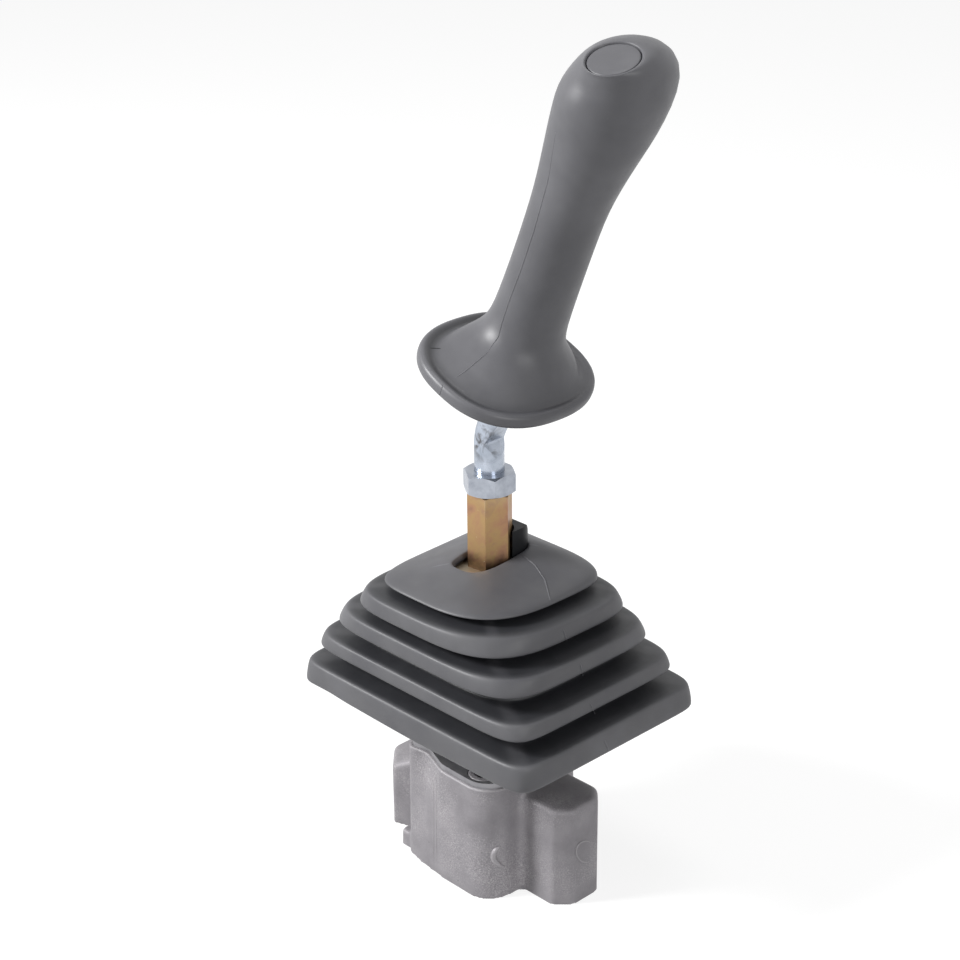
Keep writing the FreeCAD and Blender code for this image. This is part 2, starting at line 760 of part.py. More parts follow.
def grip_sleeve():
    low = skirt_start + sleeve_margin
    high = rod_grip_length - grip_washer_thickness
    tube = cylinder(rod_radius + sleeve_wall, low, high).cut(cylinder(rod_radius + THREAD_GAP, low, high))
    return leaning(tube)


def grip_washer():
    low = rod_grip_length
    high = low + grip_washer_thickness
    return leaning(cylinder(grip_washer_radius, low, high).cut(cylinder(rod_end_radius + SEAT_GAP, low, high)))


def grip_nut():
    low = rod_grip_length + grip_washer_thickness
    high = low + grip_nut_height
    nut = chamfered_hexagon(grip_nut_flats, low, high)
    return leaning(nut.cut(cylinder(rod_end_radius + THREAD_GAP, low, high)))


def grip_cap():
    """Round press-in cap over the nut, bare on top, with a plain stem."""
    low = -cap_thickness / 2
    high = cap_thickness / 2
    disc = turned([(0, low), (cap_radius, low), (cap_radius, high - 0.9), (cap_radius - 1.2, high), (0, high + 0.5)])
    stem = cylinder(cap_stem_radius, low - cap_stem_length, low)
    stem = stem.cut(cylinder(cap_stem_radius - 2, low - cap_stem_length, low))
    return cap_frame(disc.fuse(stem))


def boot_ring(half_x, half_y, height, corner, shift=0.0, tilt=0.0, side=0.0):
    """Rounded rectangle of the boot at one height, leaned about X near the hole."""
    corners = [(half_x, half_y, corner), (-half_x, half_y, corner),
               (-half_x, -half_y, corner), (half_x, -half_y, corner)]
    ring = rounded_outline([(x + side, y + shift, r) for x, y, r in corners])
    ring.rotate(V(0, 0, 0), V(1, 0, 0), tilt)
    ring.translate(V(0, 0, height))
    return ring


def rubber_boot():
    """Stepped bellows: four overhanging rims and a dome with a long hole for the coupling."""
    outer = []
    inner = []
    w = boot_wall
    for number, (half_x, half_y, low, rim, corner) in enumerate(boot_rims):
        moved = 0 if number else hem_shift
        if number:
            fold_x = half_x - boot_fold_depth
            fold_y = half_y - boot_fold_depth
            fold = low - boot_fold_drop
            outer.append(boot_ring(fold_x, fold_y, fold, corner - 2))
            inner.append(boot_ring(fold_x - 0.9 * w, fold_y - 0.9 * w, fold - 0.3 * w, corner - 4))
        outer.append(boot_ring(half_x, half_y, low, corner, moved, 0, moved))
        outer.append(boot_ring(half_x - boot_rim_draft, half_y - boot_rim_draft, low + rim, corner, moved, 0, moved))
        if not number:
            inner.append(boot_ring(half_x - w, half_y - w, low, corner - w, moved, 0, moved))
        inner.append(boot_ring(half_x - 1.1 * w, half_y - 1.1 * w, low + rim - 0.95 * w, corner - w,
                               moved, 0, moved))
    half_x, half_y, low = dome_edge
    hole_x, hole_y = dome_hole
    rise = dome_top - low
    fold_x = half_x - boot_fold_depth + dome_fold_rise
    fold_y = half_y - boot_fold_depth + dome_fold_rise
    outer.append(boot_ring(fold_x, fold_y, low - dome_fold_drop, dome_corner - 2))
    inner.append(boot_ring(fold_x - dome_wall, fold_y - dome_wall, low - dome_fold_drop - 0.3 * w, dome_corner - 4))
    outer.append(boot_ring(half_x, half_y, low, dome_corner))
    for share, climb, lean in dome_levels:
        x = hole_x + (half_x - hole_x) * (share - 0.35) / 0.65
        y = hole_y + (half_y - hole_y) * (share - 0.35) / 0.65
        ring = [x, y, low + rise * climb, dome_corner * (0.4 + 0.6 * share)]
        outer.append(boot_ring(*ring, dome_hole_shift * lean, dome_tilt * lean))
        inner.append(boot_ring(x - dome_wall, y - dome_wall, ring[2] - dome_wall * climb, ring[3] - dome_wall,
                               dome_hole_shift * lean, dome_tilt * lean))
    hole_corner = hole_x - 0.4
    outer.append(boot_ring(hole_x, hole_y, dome_top, hole_corner, dome_hole_shift, dome_tilt))
    outer.append(boot_ring(hole_x, hole_y, dome_top - dome_wall, hole_corner, dome_hole_shift, dome_tilt))
    return Part.makeLoft(outer + inner[::-1], True, True, True)


def push_rod(x, y):
    """Rod under the disc: rounded tip, foot that the spring lifts, bore that takes the spool's stem."""
    nose = rod_tip_height - push_rod_tip_radius
    shoulder = rod_tip_height - push_rod_tip_length
    body = turned([
        (0, foot_bottom), (push_rod_foot_radius, foot_bottom), (push_rod_foot_radius, foot_top),
        (push_rod_radius, foot_top), (push_rod_radius, shoulder - 1), (push_rod_tip_radius, shoulder),
        (push_rod_tip_radius, nose), (0, nose)], x, y)
    body = body.fuse(Part.makeSphere(push_rod_tip_radius, V(x, y, nose)))
    return body.cut(cylinder(push_rod_bore, foot_bottom, foot_bottom + push_rod_bore_depth, x, y))


def rod_guide(x, y):
    """Guide bush between plate and chamber, recessed for the rod's seal, grooved for its ring."""
    seal_low = deck_height - guide_seal_depth
    groove = guide_bottom + guide_ring_height
    bore = push_rod_radius + RUNNING_GAP
    half = guide_ring_section / 2 + 0.1
    depth = guide_radius - guide_ring_section
    return turned([
        (bore, guide_bottom), (guide_radius, guide_bottom), (guide_radius, groove - half), (depth, groove - half),
        (depth, groove + half), (guide_radius, groove + half), (guide_radius, deck_height),
        (guide_seal_radius, deck_height), (guide_seal_radius, seal_low), (bore, seal_low)], x, y)


def rod_seals():
    low = deck_height - guide_seal_depth
    rings = []
    for index in range(STATIONS):
        inner = push_rod_radius + RUNNING_GAP
        outer = guide_seal_radius - SLIDE_GAP
        rings.append(turned([(inner + 0.4, low), (outer, low), (outer, deck_height - 0.2), (inner, deck_height - 0.2)],
                            *station_place(index)))
    return Part.makeCompound(rings)


def guide_rings():
    """Sealing rings in the guides' outer grooves."""
    centre = guide_radius - guide_ring_section / 2 + SLIDE_GAP
    height = guide_bottom + guide_ring_height
    radius = guide_ring_section / 2 - SLIDE_GAP
    section = [(centre + radius * math.cos(k * pi / 3), height + radius * math.sin(k * pi / 3)) for k in range(6)]
    return Part.makeCompound([turned(section, *station_place(index)) for index in range(STATIONS)])


def spring_seat(x, y):
    hole = spool_stem_radius + SEAT_GAP
    return turned([
        (hole, seat_bottom), (spring_seat_radius, seat_bottom), (spring_seat_radius, foot_bottom),
        (hole, foot_bottom)], x, y)


def coil(radius, wire, turns, low, high, x, y):
    """Helical spring between two seats, in short straight lengths, its wire drawn with six sides."""
    start = low + wire / 2
    rise = high - low - wire
    count = int(turns * COIL_STEPS)
    route = []
    for k in range(count + 1):
        angle = 2 * pi * k / COIL_STEPS
        route.append(V(x + radius * math.cos(angle), y + radius * math.sin(angle), start + rise * k / count))
    along = route[1].sub(route[0])
    along.normalize()
    across = V(1, 0, 0)
    upward = along.cross(across)
    section = []
    for k in range(6):
        turn = k * pi / 3
        offset = V(across).multiply(wire / 2 * math.cos(turn)).add(V(upward).multiply(wire / 2 * math.sin(turn)))
        section.append(route[0].add(offset))
    profile = Part.makePolygon(section + section[:1])
    return Part.makePolygon(route).makePipeShell([profile], True, False, 1)


def spool(x, y):
    """Metering spool: a grooved land in its bore, and the stem that reaches into the push rod."""
    low = spool_bottom
    third = spool_land / 3
    inner = spool_radius - spool_groove
    return turned([
        (0, low), (spool_radius - 0.4, low), (spool_radius, low + 0.4), (spool_radius, low + third),
        (inner, low + third), (inner, low + 2 * third), (spool_radius, low + 2 * third),
        (spool_radius, spool_shoulder), (spool_stem_radius, spool_shoulder), (spool_stem_radius, spool_stem_top),
        (0, spool_stem_top)], x, y)


save("valve_body", valve_body())
save("cover_plate", cover_plate())
save("cover_screws", cover_screws())
save("joint_base", joint_base())
save("joint_cross", joint_cross())
save("cross_pin_long", cross_pin_long())
save("cross_pins_short", cross_pins_short())
save("joint_yoke", joint_yoke())
save("swash_disc", swash_disc())
save("disc_lock_nut", disc_lock_nut())
save("hex_coupling", hex_coupling())
save("boot_washer", boot_washer())
save("snap_ring", snap_ring())
save("neck_insert", neck_insert())
save("rubber_boot", rubber_boot())
save("lock_nut", lock_nut())
save("lever_rod", lever_rod())
save("grip", grip())
save("grip_sleeve", grip_sleeve())
save("grip_washer", grip_washer())
save("grip_nut", grip_nut())
save("grip_cap", grip_cap())
save("rod_seals", rod_seals())
save("guide_rings", guide_rings())
for station in range(STATIONS):
    place = station_place(station)
    number = station + 1
    save("rod_guide_%d" % number, rod_guide(*place))
    save("push_rod_%d" % number, push_rod(*place))
    save("spring_seat_%d" % number, spring_seat(*place))
    save("return_spring_%d" % number,
         coil(return_coil_radius, return_wire, return_turns, chamber_floor, seat_bottom, *place))
    save("metering_spring_%d" % number,
         coil(metering_coil_radius, metering_wire, metering_turns, spool_shoulder, seat_bottom, *place))
    save("spool_%d" % number, spool(*place))
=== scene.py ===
import json
import math

import bpy
import numpy as np
from mathutils import Matrix, Vector
from mathutils.bvhtree import BVHTree


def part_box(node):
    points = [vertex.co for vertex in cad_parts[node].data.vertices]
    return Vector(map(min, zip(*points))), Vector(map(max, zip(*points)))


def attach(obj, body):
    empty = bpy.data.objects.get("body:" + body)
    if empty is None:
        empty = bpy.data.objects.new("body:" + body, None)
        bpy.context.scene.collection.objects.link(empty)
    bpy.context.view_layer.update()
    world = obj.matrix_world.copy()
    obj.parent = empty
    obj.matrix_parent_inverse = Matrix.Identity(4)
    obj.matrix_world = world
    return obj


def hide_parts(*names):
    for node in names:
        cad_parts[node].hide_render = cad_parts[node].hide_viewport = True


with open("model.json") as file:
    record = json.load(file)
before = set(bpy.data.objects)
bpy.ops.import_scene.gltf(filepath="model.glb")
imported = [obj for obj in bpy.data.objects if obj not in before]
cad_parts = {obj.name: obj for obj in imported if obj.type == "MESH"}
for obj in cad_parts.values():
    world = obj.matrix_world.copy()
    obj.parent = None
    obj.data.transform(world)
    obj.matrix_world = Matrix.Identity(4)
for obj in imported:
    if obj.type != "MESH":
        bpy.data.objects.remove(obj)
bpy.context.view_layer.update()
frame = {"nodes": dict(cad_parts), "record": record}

# Millimetres in this file, metres in Blender
MM = 0.001

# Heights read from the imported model
hem_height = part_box("rubber_boot")[0].z / MM
nut_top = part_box("lock_nut")[1].z
coupling_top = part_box("hex_coupling")[1].z

# Upper lever: its lean, and the height of its bend over the lock nut
LEVER_LEAN = math.radians(22.8)
BEND_OVER_NUT = 17.1
bend_height = nut_top / MM + BEND_OVER_NUT

# Length of the coupling that stands out of the boot
BARE_COUPLING = 37.3

# Dent worn in the lever at its bend, and how far its scuffs reach
DENT_PLACE = Vector((2.5, -7.0, bend_height - 1.0))
DENT_REACH = 12.0

# Photograph's camera: focal length in pixels, place and angles
PHOTO_WIDTH = 960
FOCAL_PIXELS = 2000.0
SENSOR_WIDTH = 36.0
CAMERA_DISTANCE = 915.7
CAMERA_PITCH = 23.19
CAMERA_TURN = 46.375
CAMERA_ROLL = 0.609
AIM_HEIGHT = 197.1
AIM_SIDE = -4.325


def linear(hex_colour):
    """sRGB hex to the linear colour that Blender's sockets take."""
    parts = [int(hex_colour[i:i + 2], 16) / 255 for i in (1, 3, 5)]
    return tuple(c / 12.92 if c <= 0.04045 else ((c + 0.055) / 1.055) ** 2.4 for c in parts) + (1.0,)


def scale_for(size_mm):
    """Scale of a pattern whose marks are about this size."""
    return 1 / (size_mm * MM)


def fill(tree, node, inputs):
    """Gives a node's inputs their links, sRGB hex colours or plain values."""
    for key, value in inputs.items():
        if isinstance(value, bpy.types.NodeSocket):
            tree.links.new(value, node.inputs[key])
        else:
            node.inputs[key].default_value = linear(value) if isinstance(value, str) else value


def add(tree, kind, inputs=None, out=0, stops=(), **settings):
    """Adds one node with its settings, a ramp's colour stops and its inputs, and gives back one output."""
    node = tree.nodes.new("ShaderNode" + kind)
    for key, value in settings.items():
        setattr(node, key, value)
    if stops:
        elements = node.color_ramp.elements
        while len(elements) < len(stops):
            elements.new(0.5)
        for element, (position, colour) in zip(elements, stops):
            element.position = position
            element.color = linear(colour)
    fill(tree, node, inputs or {})
    return node.outputs[out]


# A Mix node set to colours takes them on sockets 6 and 7 and gives the result on output 2
COLOURS = {"data_type": "RGBA", "out": 2}


def new_material(name):
    """A material with its surface shader and the object's coordinates in metres."""
    material = bpy.data.materials.new(name)
    material.use_nodes = True
    tree = material.node_tree
    return material, tree, tree.nodes["Principled BSDF"], add(tree, "TexCoord", out="Object")


def moulded_rubber(name, body, light, dark, rub_and_highlight, grain_mm, roughness, gloss=0.5):
    """Moulded rubber: matte, with a fine mould grain, dusty blotches, edges rubbed paler and given a painted
    highlight, and painted shade in its folds.
    """
    material, tree, shader, place = new_material(name)
    blotch = add(tree, "TexNoise", {"Vector": place, "Scale": scale_for(34), "Detail": 3, "Roughness": 0.55})
    cloud = add(tree, "TexNoise", {"Vector": place, "Scale": scale_for(9), "Detail": 4, "Roughness": 0.6})
    base = add(tree, "ValToRGB", {"Fac": blotch}, stops=[(0.35, dark), (0.52, body), (0.7, light)])
    dust = add(tree, "MapRange", {"Value": cloud, "From Min": 0.5, "From Max": 0.8, "To Max": 0.25})
    dusty = add(tree, "Mix", {"Factor": dust, 6: base, 7: light}, **COLOURS)
    # Sharp edges and creases are made paler: partly rubbed wear, partly a painted highlight along them
    edge = add(tree, "NewGeometry", out="Pointiness")
    rubbing_and_highlight = add(tree, "MapRange", {"Value": edge, "From Min": 0.53, "From Max": 0.6, "To Max": 0.4})
    rubbed_and_highlit = add(tree, "Mix", {"Factor": rubbing_and_highlight, 6: dusty, 7: rub_and_highlight}, **COLOURS)
    # Painted shade: each point's value darkens the colour in the folds and on the boot's inside
    painted_shade = add(tree, "Attribute", out="Fac", attribute_name="painted_shade")
    shade = add(tree, "MapRange", {"Value": painted_shade, "To Max": 0.96})
    with_painted_shade = add(tree, "Mix", {"Factor": shade, 6: rubbed_and_highlit, 7: "#1d1e22"}, **COLOURS)
    fleck = add(tree, "TexNoise", {"Vector": place, "Scale": scale_for(1.6), "Detail": 3, "Roughness": 0.7})
    specks = add(tree, "MapRange", {"Value": fleck, "From Min": 0.72, "From Max": 0.76, "To Max": 0.35})
    speckled = add(tree, "Mix", {"Factor": specks, 6: with_painted_shade, 7: rub_and_highlight}, **COLOURS)
    swell = add(tree, "TexNoise", {"Vector": place, "Scale": scale_for(16), "Detail": 2, "Roughness": 0.4})
    soft = add(tree, "Bump", {"Height": swell, "Distance": 0.3 * MM})
    grain = add(tree, "TexNoise", {"Vector": place, "Scale": scale_for(grain_mm), "Detail": 2,
                                   "Roughness": 0.6})
    skin = add(tree, "Bump", {"Height": grain, "Distance": 0.03 * MM, "Strength": 0.6, "Normal": soft})
    matte = add(tree, "MapRange", {"Value": cloud, "From Min": 0.3, "From Max": 0.8,
                                   "To Min": roughness - 0.05, "To Max": roughness + 0.08})
    fill(tree, shader, {"Base Color": speckled, "Normal": skin, "Roughness": matte, "IOR": 1.52,
                        "Specular IOR Level": gloss})
    return material


def sand_cast_iron():
    """Sand casting after blasting: pinkish grey, with painted glints and painted shade in its grit in random
    patches, with pits and stains.
    """
    material, tree, shader, place = new_material("blasted_sand_cast_iron")
    blotch = add(tree, "TexNoise", {"Vector": place, "Scale": scale_for(24), "Detail": 4, "Roughness": 0.6})
    base = add(tree, "ValToRGB", {"Fac": blotch},
               stops=[(0.3, "#838084"), (0.5, "#928f93"), (0.7, "#a09ca0")])
    # Blasting leaves marks of about 0.3 mm, drawn at 0.7 mm so that they show
    grit = add(tree, "TexNoise", {"Vector": place, "Scale": scale_for(0.7), "Detail": 3, "Roughness": 0.75})
    patch = add(tree, "TexNoise", {"Vector": place, "Scale": scale_for(26), "Detail": 2, "Roughness": 0.5})
    glint_patch = add(tree, "MapRange", {"Value": patch, "From Min": 0.45, "From Max": 0.66,
                                   "To Min": 0.08, "To Max": 0.8})
    # Painted glints on the grit's bright spots and painted shade in its dim ones, strongest in random patches
    bright = add(tree, "MapRange", {"Value": grit, "From Min": 0.53, "From Max": 0.68})
    dim = add(tree, "MapRange", {"Value": grit, "From Min": 0.47, "From Max": 0.34})
    sparkle = add(tree, "Math", {0: bright, 1: glint_patch}, operation="MULTIPLY")
    hollow_shade = add(tree, "Math", {0: dim, 1: glint_patch}, operation="MULTIPLY")
    shadow = add(tree, "Math", {0: hollow_shade, 1: 0.6}, operation="MULTIPLY")
    lit = add(tree, "Mix", {"Factor": sparkle, 6: base, 7: "#c9c6c8"}, **COLOURS)
    shaded = add(tree, "Mix", {"Factor": shadow, 6: lit, 7: "#5f5d60"}, **COLOURS)
    cell = add(tree, "TexVoronoi", {"Vector": place, "Scale": scale_for(9)}, out="Distance")
    pit = add(tree, "MapRange", {"Value": cell, "From Min": 0.015, "From Max": 0.05,
                                 "To Min": 0.6, "To Max": 0.0})
    pitted = add(tree, "Mix", {"Factor": pit, 6: shaded, 7: "#454347"}, **COLOURS)
    edge = add(tree, "NewGeometry", out="Pointiness")
    wear = add(tree, "MapRange", {"Value": edge, "From Min": 0.515, "From Max": 0.56, "To Max": 0.4})
    worn = add(tree, "Mix", {"Factor": wear, 6: pitted, 7: "#b9b6b9"}, **COLOURS)
    swell = add(tree, "TexNoise", {"Vector": place, "Scale": scale_for(7), "Detail": 3, "Roughness": 0.5})
    skin = add(tree, "Bump", {"Height": swell, "Distance": 0.3 * MM})
    blasted = add(tree, "Bump", {"Height": grit, "Distance": 0.2 * MM, "Strength": 0.8, "Normal": skin})
    matte = add(tree, "MapRange", {"Value": sparkle, "To Min": 0.6, "To Max": 0.36})
    fill(tree, shader, {"Base Color": worn, "Normal": blasted, "Roughness": matte, "Metallic": 0.3})
    return material


def plated_steel(name, light, dark, roughness, metallic=1.0):
    """Steel turned on a lathe, then plated: fine rings round the axis under a cloudy coat."""
    material, tree, shader, place = new_material(name)
    cloud = add(tree, "TexNoise", {"Vector": place, "Scale": scale_for(7), "Detail": 4, "Roughness": 0.6})
    coat = add(tree, "ValToRGB", {"Fac": cloud}, stops=[(0.3, dark), (0.7, light)])
    # A fine cut leaves rings of about 0.1 mm, drawn at 0.35 mm so that they show
    stretched = add(tree, "Mapping", {"Vector": place, "Scale": (0.06, 0.06, 1.0)})
    ring = add(tree, "TexNoise", {"Vector": stretched, "Scale": scale_for(0.35), "Detail": 2,
                                  "Roughness": 0.6})
    turned = add(tree, "Bump", {"Height": ring, "Distance": 0.02 * MM, "Strength": 0.5})
    matte = add(tree, "MapRange", {"Value": cloud, "From Min": 0.3, "From Max": 0.7,
                                   "To Min": roughness, "To Max": roughness + 0.12})
    fill(tree, shader, {"Base Color": coat, "Normal": turned, "Roughness": matte, "Metallic": metallic})
    return material


def scuffed_zinc_rod():
    """Zinc plated bar: bright and bluish, but scuffed and darker in patches round the dent at its bend."""
    material, tree, shader, place = new_material("bright_zinc_plated_bar")
    cloud = add(tree, "TexNoise", {"Vector": place, "Scale": scale_for(8), "Detail": 4, "Roughness": 0.6})
    base = add(tree, "ValToRGB", {"Fac": cloud}, stops=[(0.3, "#98a0ac"), (0.7, "#bcc3cf")])
    away = add(tree, "VectorMath", {0: place, 1: DENT_PLACE * MM}, out="Value", operation="DISTANCE")
    wear = add(tree, "MapRange", {"Value": away, "From Min": 0.35 * DENT_REACH * MM,
                                  "From Max": DENT_REACH * MM, "To Min": 1.0, "To Max": 0.0})
    # The colour darkens in noisy patches round the dent
    patch_noise = add(tree, "TexNoise", {"Vector": place, "Scale": scale_for(5), "Detail": 4, "Roughness": 0.6,
                                    "Distortion": 0.8})
    dark_patch = add(tree, "MapRange", {"Value": patch_noise, "From Min": 0.46, "From Max": 0.62})
    dent_darkening = add(tree, "Math", {0: wear, 1: dark_patch}, operation="MULTIPLY")
    thin = add(tree, "Math", {0: dent_darkening, 1: 0.85}, operation="MULTIPLY")
    darkened = add(tree, "Mix", {"Factor": thin, 6: base, 7: "#4b4744"}, **COLOURS)
    scratch = add(tree, "TexNoise", {"Vector": place, "Scale": scale_for(0.6), "Detail": 3, "Roughness": 0.7,
                                     "Distortion": 1.5})
    scratched = add(tree, "Bump", {"Height": scratch, "Distance": 0.04 * MM, "Strength": 0.5})
    matte = add(tree, "MapRange", {"Value": wear, "To Min": 0.24, "To Max": 0.5})
    fill(tree, shader, {"Base Color": darkened, "Normal": scratched, "Roughness": matte, "Metallic": 0.9})
    return material


def yellow_chromate_steel():
    """Chromated hexagon bar: pinkish brown to olive gold, browned low down, chipped to bare metal."""
    material, tree, shader, place = new_material("yellow_chromated_steel")
    cloud = add(tree, "TexNoise", {"Vector": place, "Scale": scale_for(11), "Detail": 4, "Roughness": 0.6,
                                   "Distortion": 0.6})
    base = add(tree, "ValToRGB", {"Fac": cloud},
               stops=[(0.28, "#94715b"), (0.44, "#a67f62"), (0.58, "#ab8d62"), (0.75, "#9c7b66")])
    height = add(tree, "SeparateXYZ", {0: place}, out="Z")
    foot = coupling_top - BARE_COUPLING * MM
    shore = add(tree, "TexNoise", {"Vector": place, "Scale": scale_for(4), "Detail": 3, "Roughness": 0.6})
    wavy = add(tree, "Math", {0: shore, 1: 5 * MM, 2: height}, operation="MULTIPLY_ADD")
    stain = add(tree, "MapRange", {"Value": wavy, "From Min": foot + 4 * MM, "From Max": foot + 12 * MM,
                                   "To Min": 0.9, "To Max": 0.0})
    stained = add(tree, "Mix", {"Factor": stain, 6: base, 7: "#3d2e20"}, **COLOURS)
    flake = add(tree, "TexNoise", {"Vector": place, "Scale": scale_for(2.6), "Detail": 5, "Roughness": 0.75})
    chips = add(tree, "MapRange", {"Value": flake, "From Min": 0.67, "From Max": 0.7, "To Max": 0.85})
    chipped = add(tree, "Mix", {"Factor": chips, 6: stained, 7: "#ddd4c0"}, **COLOURS)
    edge = add(tree, "NewGeometry", out="Pointiness")
    wear = add(tree, "MapRange", {"Value": edge, "From Min": 0.56, "From Max": 0.66, "To Max": 0.6})
    worn = add(tree, "Mix", {"Factor": wear, 6: chipped, 7: "#d6cbb4"}, **COLOURS)
    # Drawing leaves lines of about 0.1 mm along the bar, drawn at 0.5 mm so that they show
    stretched = add(tree, "Mapping", {"Vector": place, "Scale": (1.0, 1.0, 0.05)})
    streak = add(tree, "TexNoise", {"Vector": stretched, "Scale": scale_for(0.5), "Detail": 2,
                                    "Roughness": 0.6})
    drawn = add(tree, "Bump", {"Height": streak, "Distance": 0.03 * MM, "Strength": 0.5})
    matte = add(tree, "MapRange", {"Value": cloud, "From Min": 0.3, "From Max": 0.7,
                                   "To Min": 0.38, "To Max": 0.52})
    fill(tree, shader, {"Base Color": worn, "Normal": drawn, "Roughness": matte, "Metallic": 0.8})
    return material


# Finishes: for rubber body, light, dark and rubbed colour, which is also its painted edge highlight, for
# steel light and dark colour
boot_rubber = moulded_rubber("moulded_nitrile_rubber", "#565659", "#5f5f63", "#4e4e52", "#7d7d83",
                             grain_mm=0.5, roughness=0.5)
grip_rubber = moulded_rubber("moulded_thermoplastic_rubber", "#5a5a5e", "#646468", "#525256", "#77777c",
                             grain_mm=0.35, roughness=0.44)
seal_rubber = moulded_rubber("black_nitrile_rubber", "#151618", "#1b1c1f", "#101113", "#232427",
                             grain_mm=0.5, roughness=0.42, gloss=0.15)
cast_iron = sand_cast_iron()
zinc_plate = plated_steel("zinc_plated_sheet", "#9a999c", "#838286", roughness=0.42, metallic=0.8)
bright_zinc = plated_steel("bright_zinc_plated_steel", "#b4b9c2", "#8f949e", roughness=0.26)
rod_zinc = scuffed_zinc_rod()
ground_steel = plated_steel("ground_hardened_steel", "#c4c6ca", "#b2b4b8", roughness=0.16)
black_oxide = plated_steel("black_oxide_steel", "#4a4b4f", "#35363a", roughness=0.4, metallic=0.9)
spring_wire = plated_steel("drawn_spring_wire", "#8f9094", "#77787c", roughness=0.3)
bronze = plated_steel("turned_bronze", "#b08a52", "#8f6d3d", roughness=0.3)
gold_chromate = yellow_chromate_steel()

finish_of_slot = {
    "cast_body": cast_iron,
    "zinc_plate": zinc_plate,
    "bright_steel": bright_zinc,
    "dark_steel": black_oxide,
    "yellow_zinc": gold_chromate,
    "bronze": bronze,
    "spring_steel": spring_wire,
    "chromed": ground_steel,
    "boot_rubber": boot_rubber,
    "grip_rubber": grip_rubber,
    "seal_rubber": seal_rubber,
    "cap_plastic": grip_rubber,
}
for entry in frame["record"]["subparts"]:
    solid = frame["nodes"][entry["node"]]
    solid.data.materials.clear()
    solid.data.materials.append(finish_of_slot[entry["material_slot"]])
frame["nodes"]["lever_rod"].data.materials[0] = rod_zinc


# Camera
def camera_matrix():
    """Camera axes from its turn about Z, its pitch and its roll."""
    turn = math.radians(CAMERA_TURN)
    pitch = math.radians(CAMERA_PITCH)
    roll = math.radians(CAMERA_ROLL)
    right = Vector((math.cos(turn), math.sin(turn), 0))
    back = Vector((math.sin(turn) * math.cos(pitch), -math.cos(turn) * math.cos(pitch), math.sin(pitch)))
    up = back.cross(right)
    image_right = right * math.cos(roll) - up * math.sin(roll)
    image_up = right * math.sin(roll) + up * math.cos(roll)
    aim = right * AIM_SIDE + Vector((0, 0, AIM_HEIGHT))
    turned = Matrix((image_right, image_up, back)).transposed().to_4x4()
    turned.translation = (aim + back * CAMERA_DISTANCE) * MM
    return turned


camera_data = bpy.data.cameras.new("camera")
camera_data.sensor_width = SENSOR_WIDTH
camera_data.lens = FOCAL_PIXELS / PHOTO_WIDTH * SENSOR_WIDTH
camera_data.clip_start = 0.01
camera = bpy.data.objects.new("camera", camera_data)
camera.matrix_world = camera_matrix()
bpy.context.scene.collection.objects.link(camera)
bpy.context.scene.camera = camera


def piece(name, points, faces, material, body, replaces=(), levels=0, painted_shades=None):
    """A mesh object from points in millimetres; it rides on a body and may stand for CAD nodes."""
    mesh = bpy.data.meshes.new(name)
    mesh.from_pydata([Vector(p) * MM for p in points], [], faces)
    mesh.validate()
    # Each point's painted shade, kept for the rubber material
    if painted_shades:
        mesh.attributes.new("painted_shade", "FLOAT", "POINT").data.foreach_set("value", painted_shades)
    return placed(name, mesh, material, body, replaces, levels)


def dress(mesh, material):
    """Gives a mesh its one material and smooth shading."""
    mesh.materials.clear()
    mesh.materials.append(material)
    mesh.polygons.foreach_set("use_smooth", [True] * len(mesh.polygons))


def placed(name, mesh, material, body, replaces=(), levels=0):
    """Links a mesh as an object of this material on this body, and hides the CAD nodes it stands for."""
    dress(mesh, material)
    obj = bpy.data.objects.new(name, mesh)
    bpy.context.scene.collection.objects.link(obj)
    if levels:
        subdivision = obj.modifiers.new("subdivision", "SUBSURF")
        subdivision.levels = levels
        subdivision.render_levels = levels
    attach(obj, body)
    if replaces:
        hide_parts(*replaces)
    return obj


def tube_faces(rings, around, closed=False):
    """Quads between rings of equal length; closed joins the last ring to the first."""
    faces = []
    for k in range(rings if closed else rings - 1):
        low = k * around
        high = ((k + 1) % rings) * around
        for j in range(around):
            nxt = (j + 1) % around
            faces.append((low + j, low + nxt, high + nxt, high + j))
    return faces


def skin_of(obj):
    """The piece's finished surface, for points that have to lie on it."""
    return BVHTree.FromObject(obj, bpy.context.evaluated_depsgraph_get())


def seen_on(skin, pixel_x, pixel_y):
    """Point and normal of a surface where the photograph shows this pixel."""
    axes = camera.matrix_world.to_3x3()
    half = PHOTO_WIDTH / 2
    ray = axes @ Vector(((pixel_x - half) / FOCAL_PIXELS, (half - pixel_y) / FOCAL_PIXELS, -1)).normalized()
    point, normal, _, _ = skin.ray_cast(camera.matrix_world.translation, ray)
    return point, normal


def between(stops, count):
    """Evenly spread points on the line through the stops."""
    line = []
    for k in range(count):
        place = k / (count - 1) * (len(stops) - 1)
        low = min(int(place), len(stops) - 2)
        share = place - low
        line.append(tuple(a + (b - a) * share for a, b in zip(stops[low], stops[low + 1])))
    return line


# Section of a raised line: place across as a share of its width, rise as a share of its height
BEAD_SECTION = ((-0.5, -0.4), (-0.32, 0.7), (0.0, 1.0), (0.32, 0.7), (0.5, -0.4))
# Size of its two tips against its middle, and how soon it grows from them
BEAD_TIP = 0.25
BEAD_GROWTH = 4.0


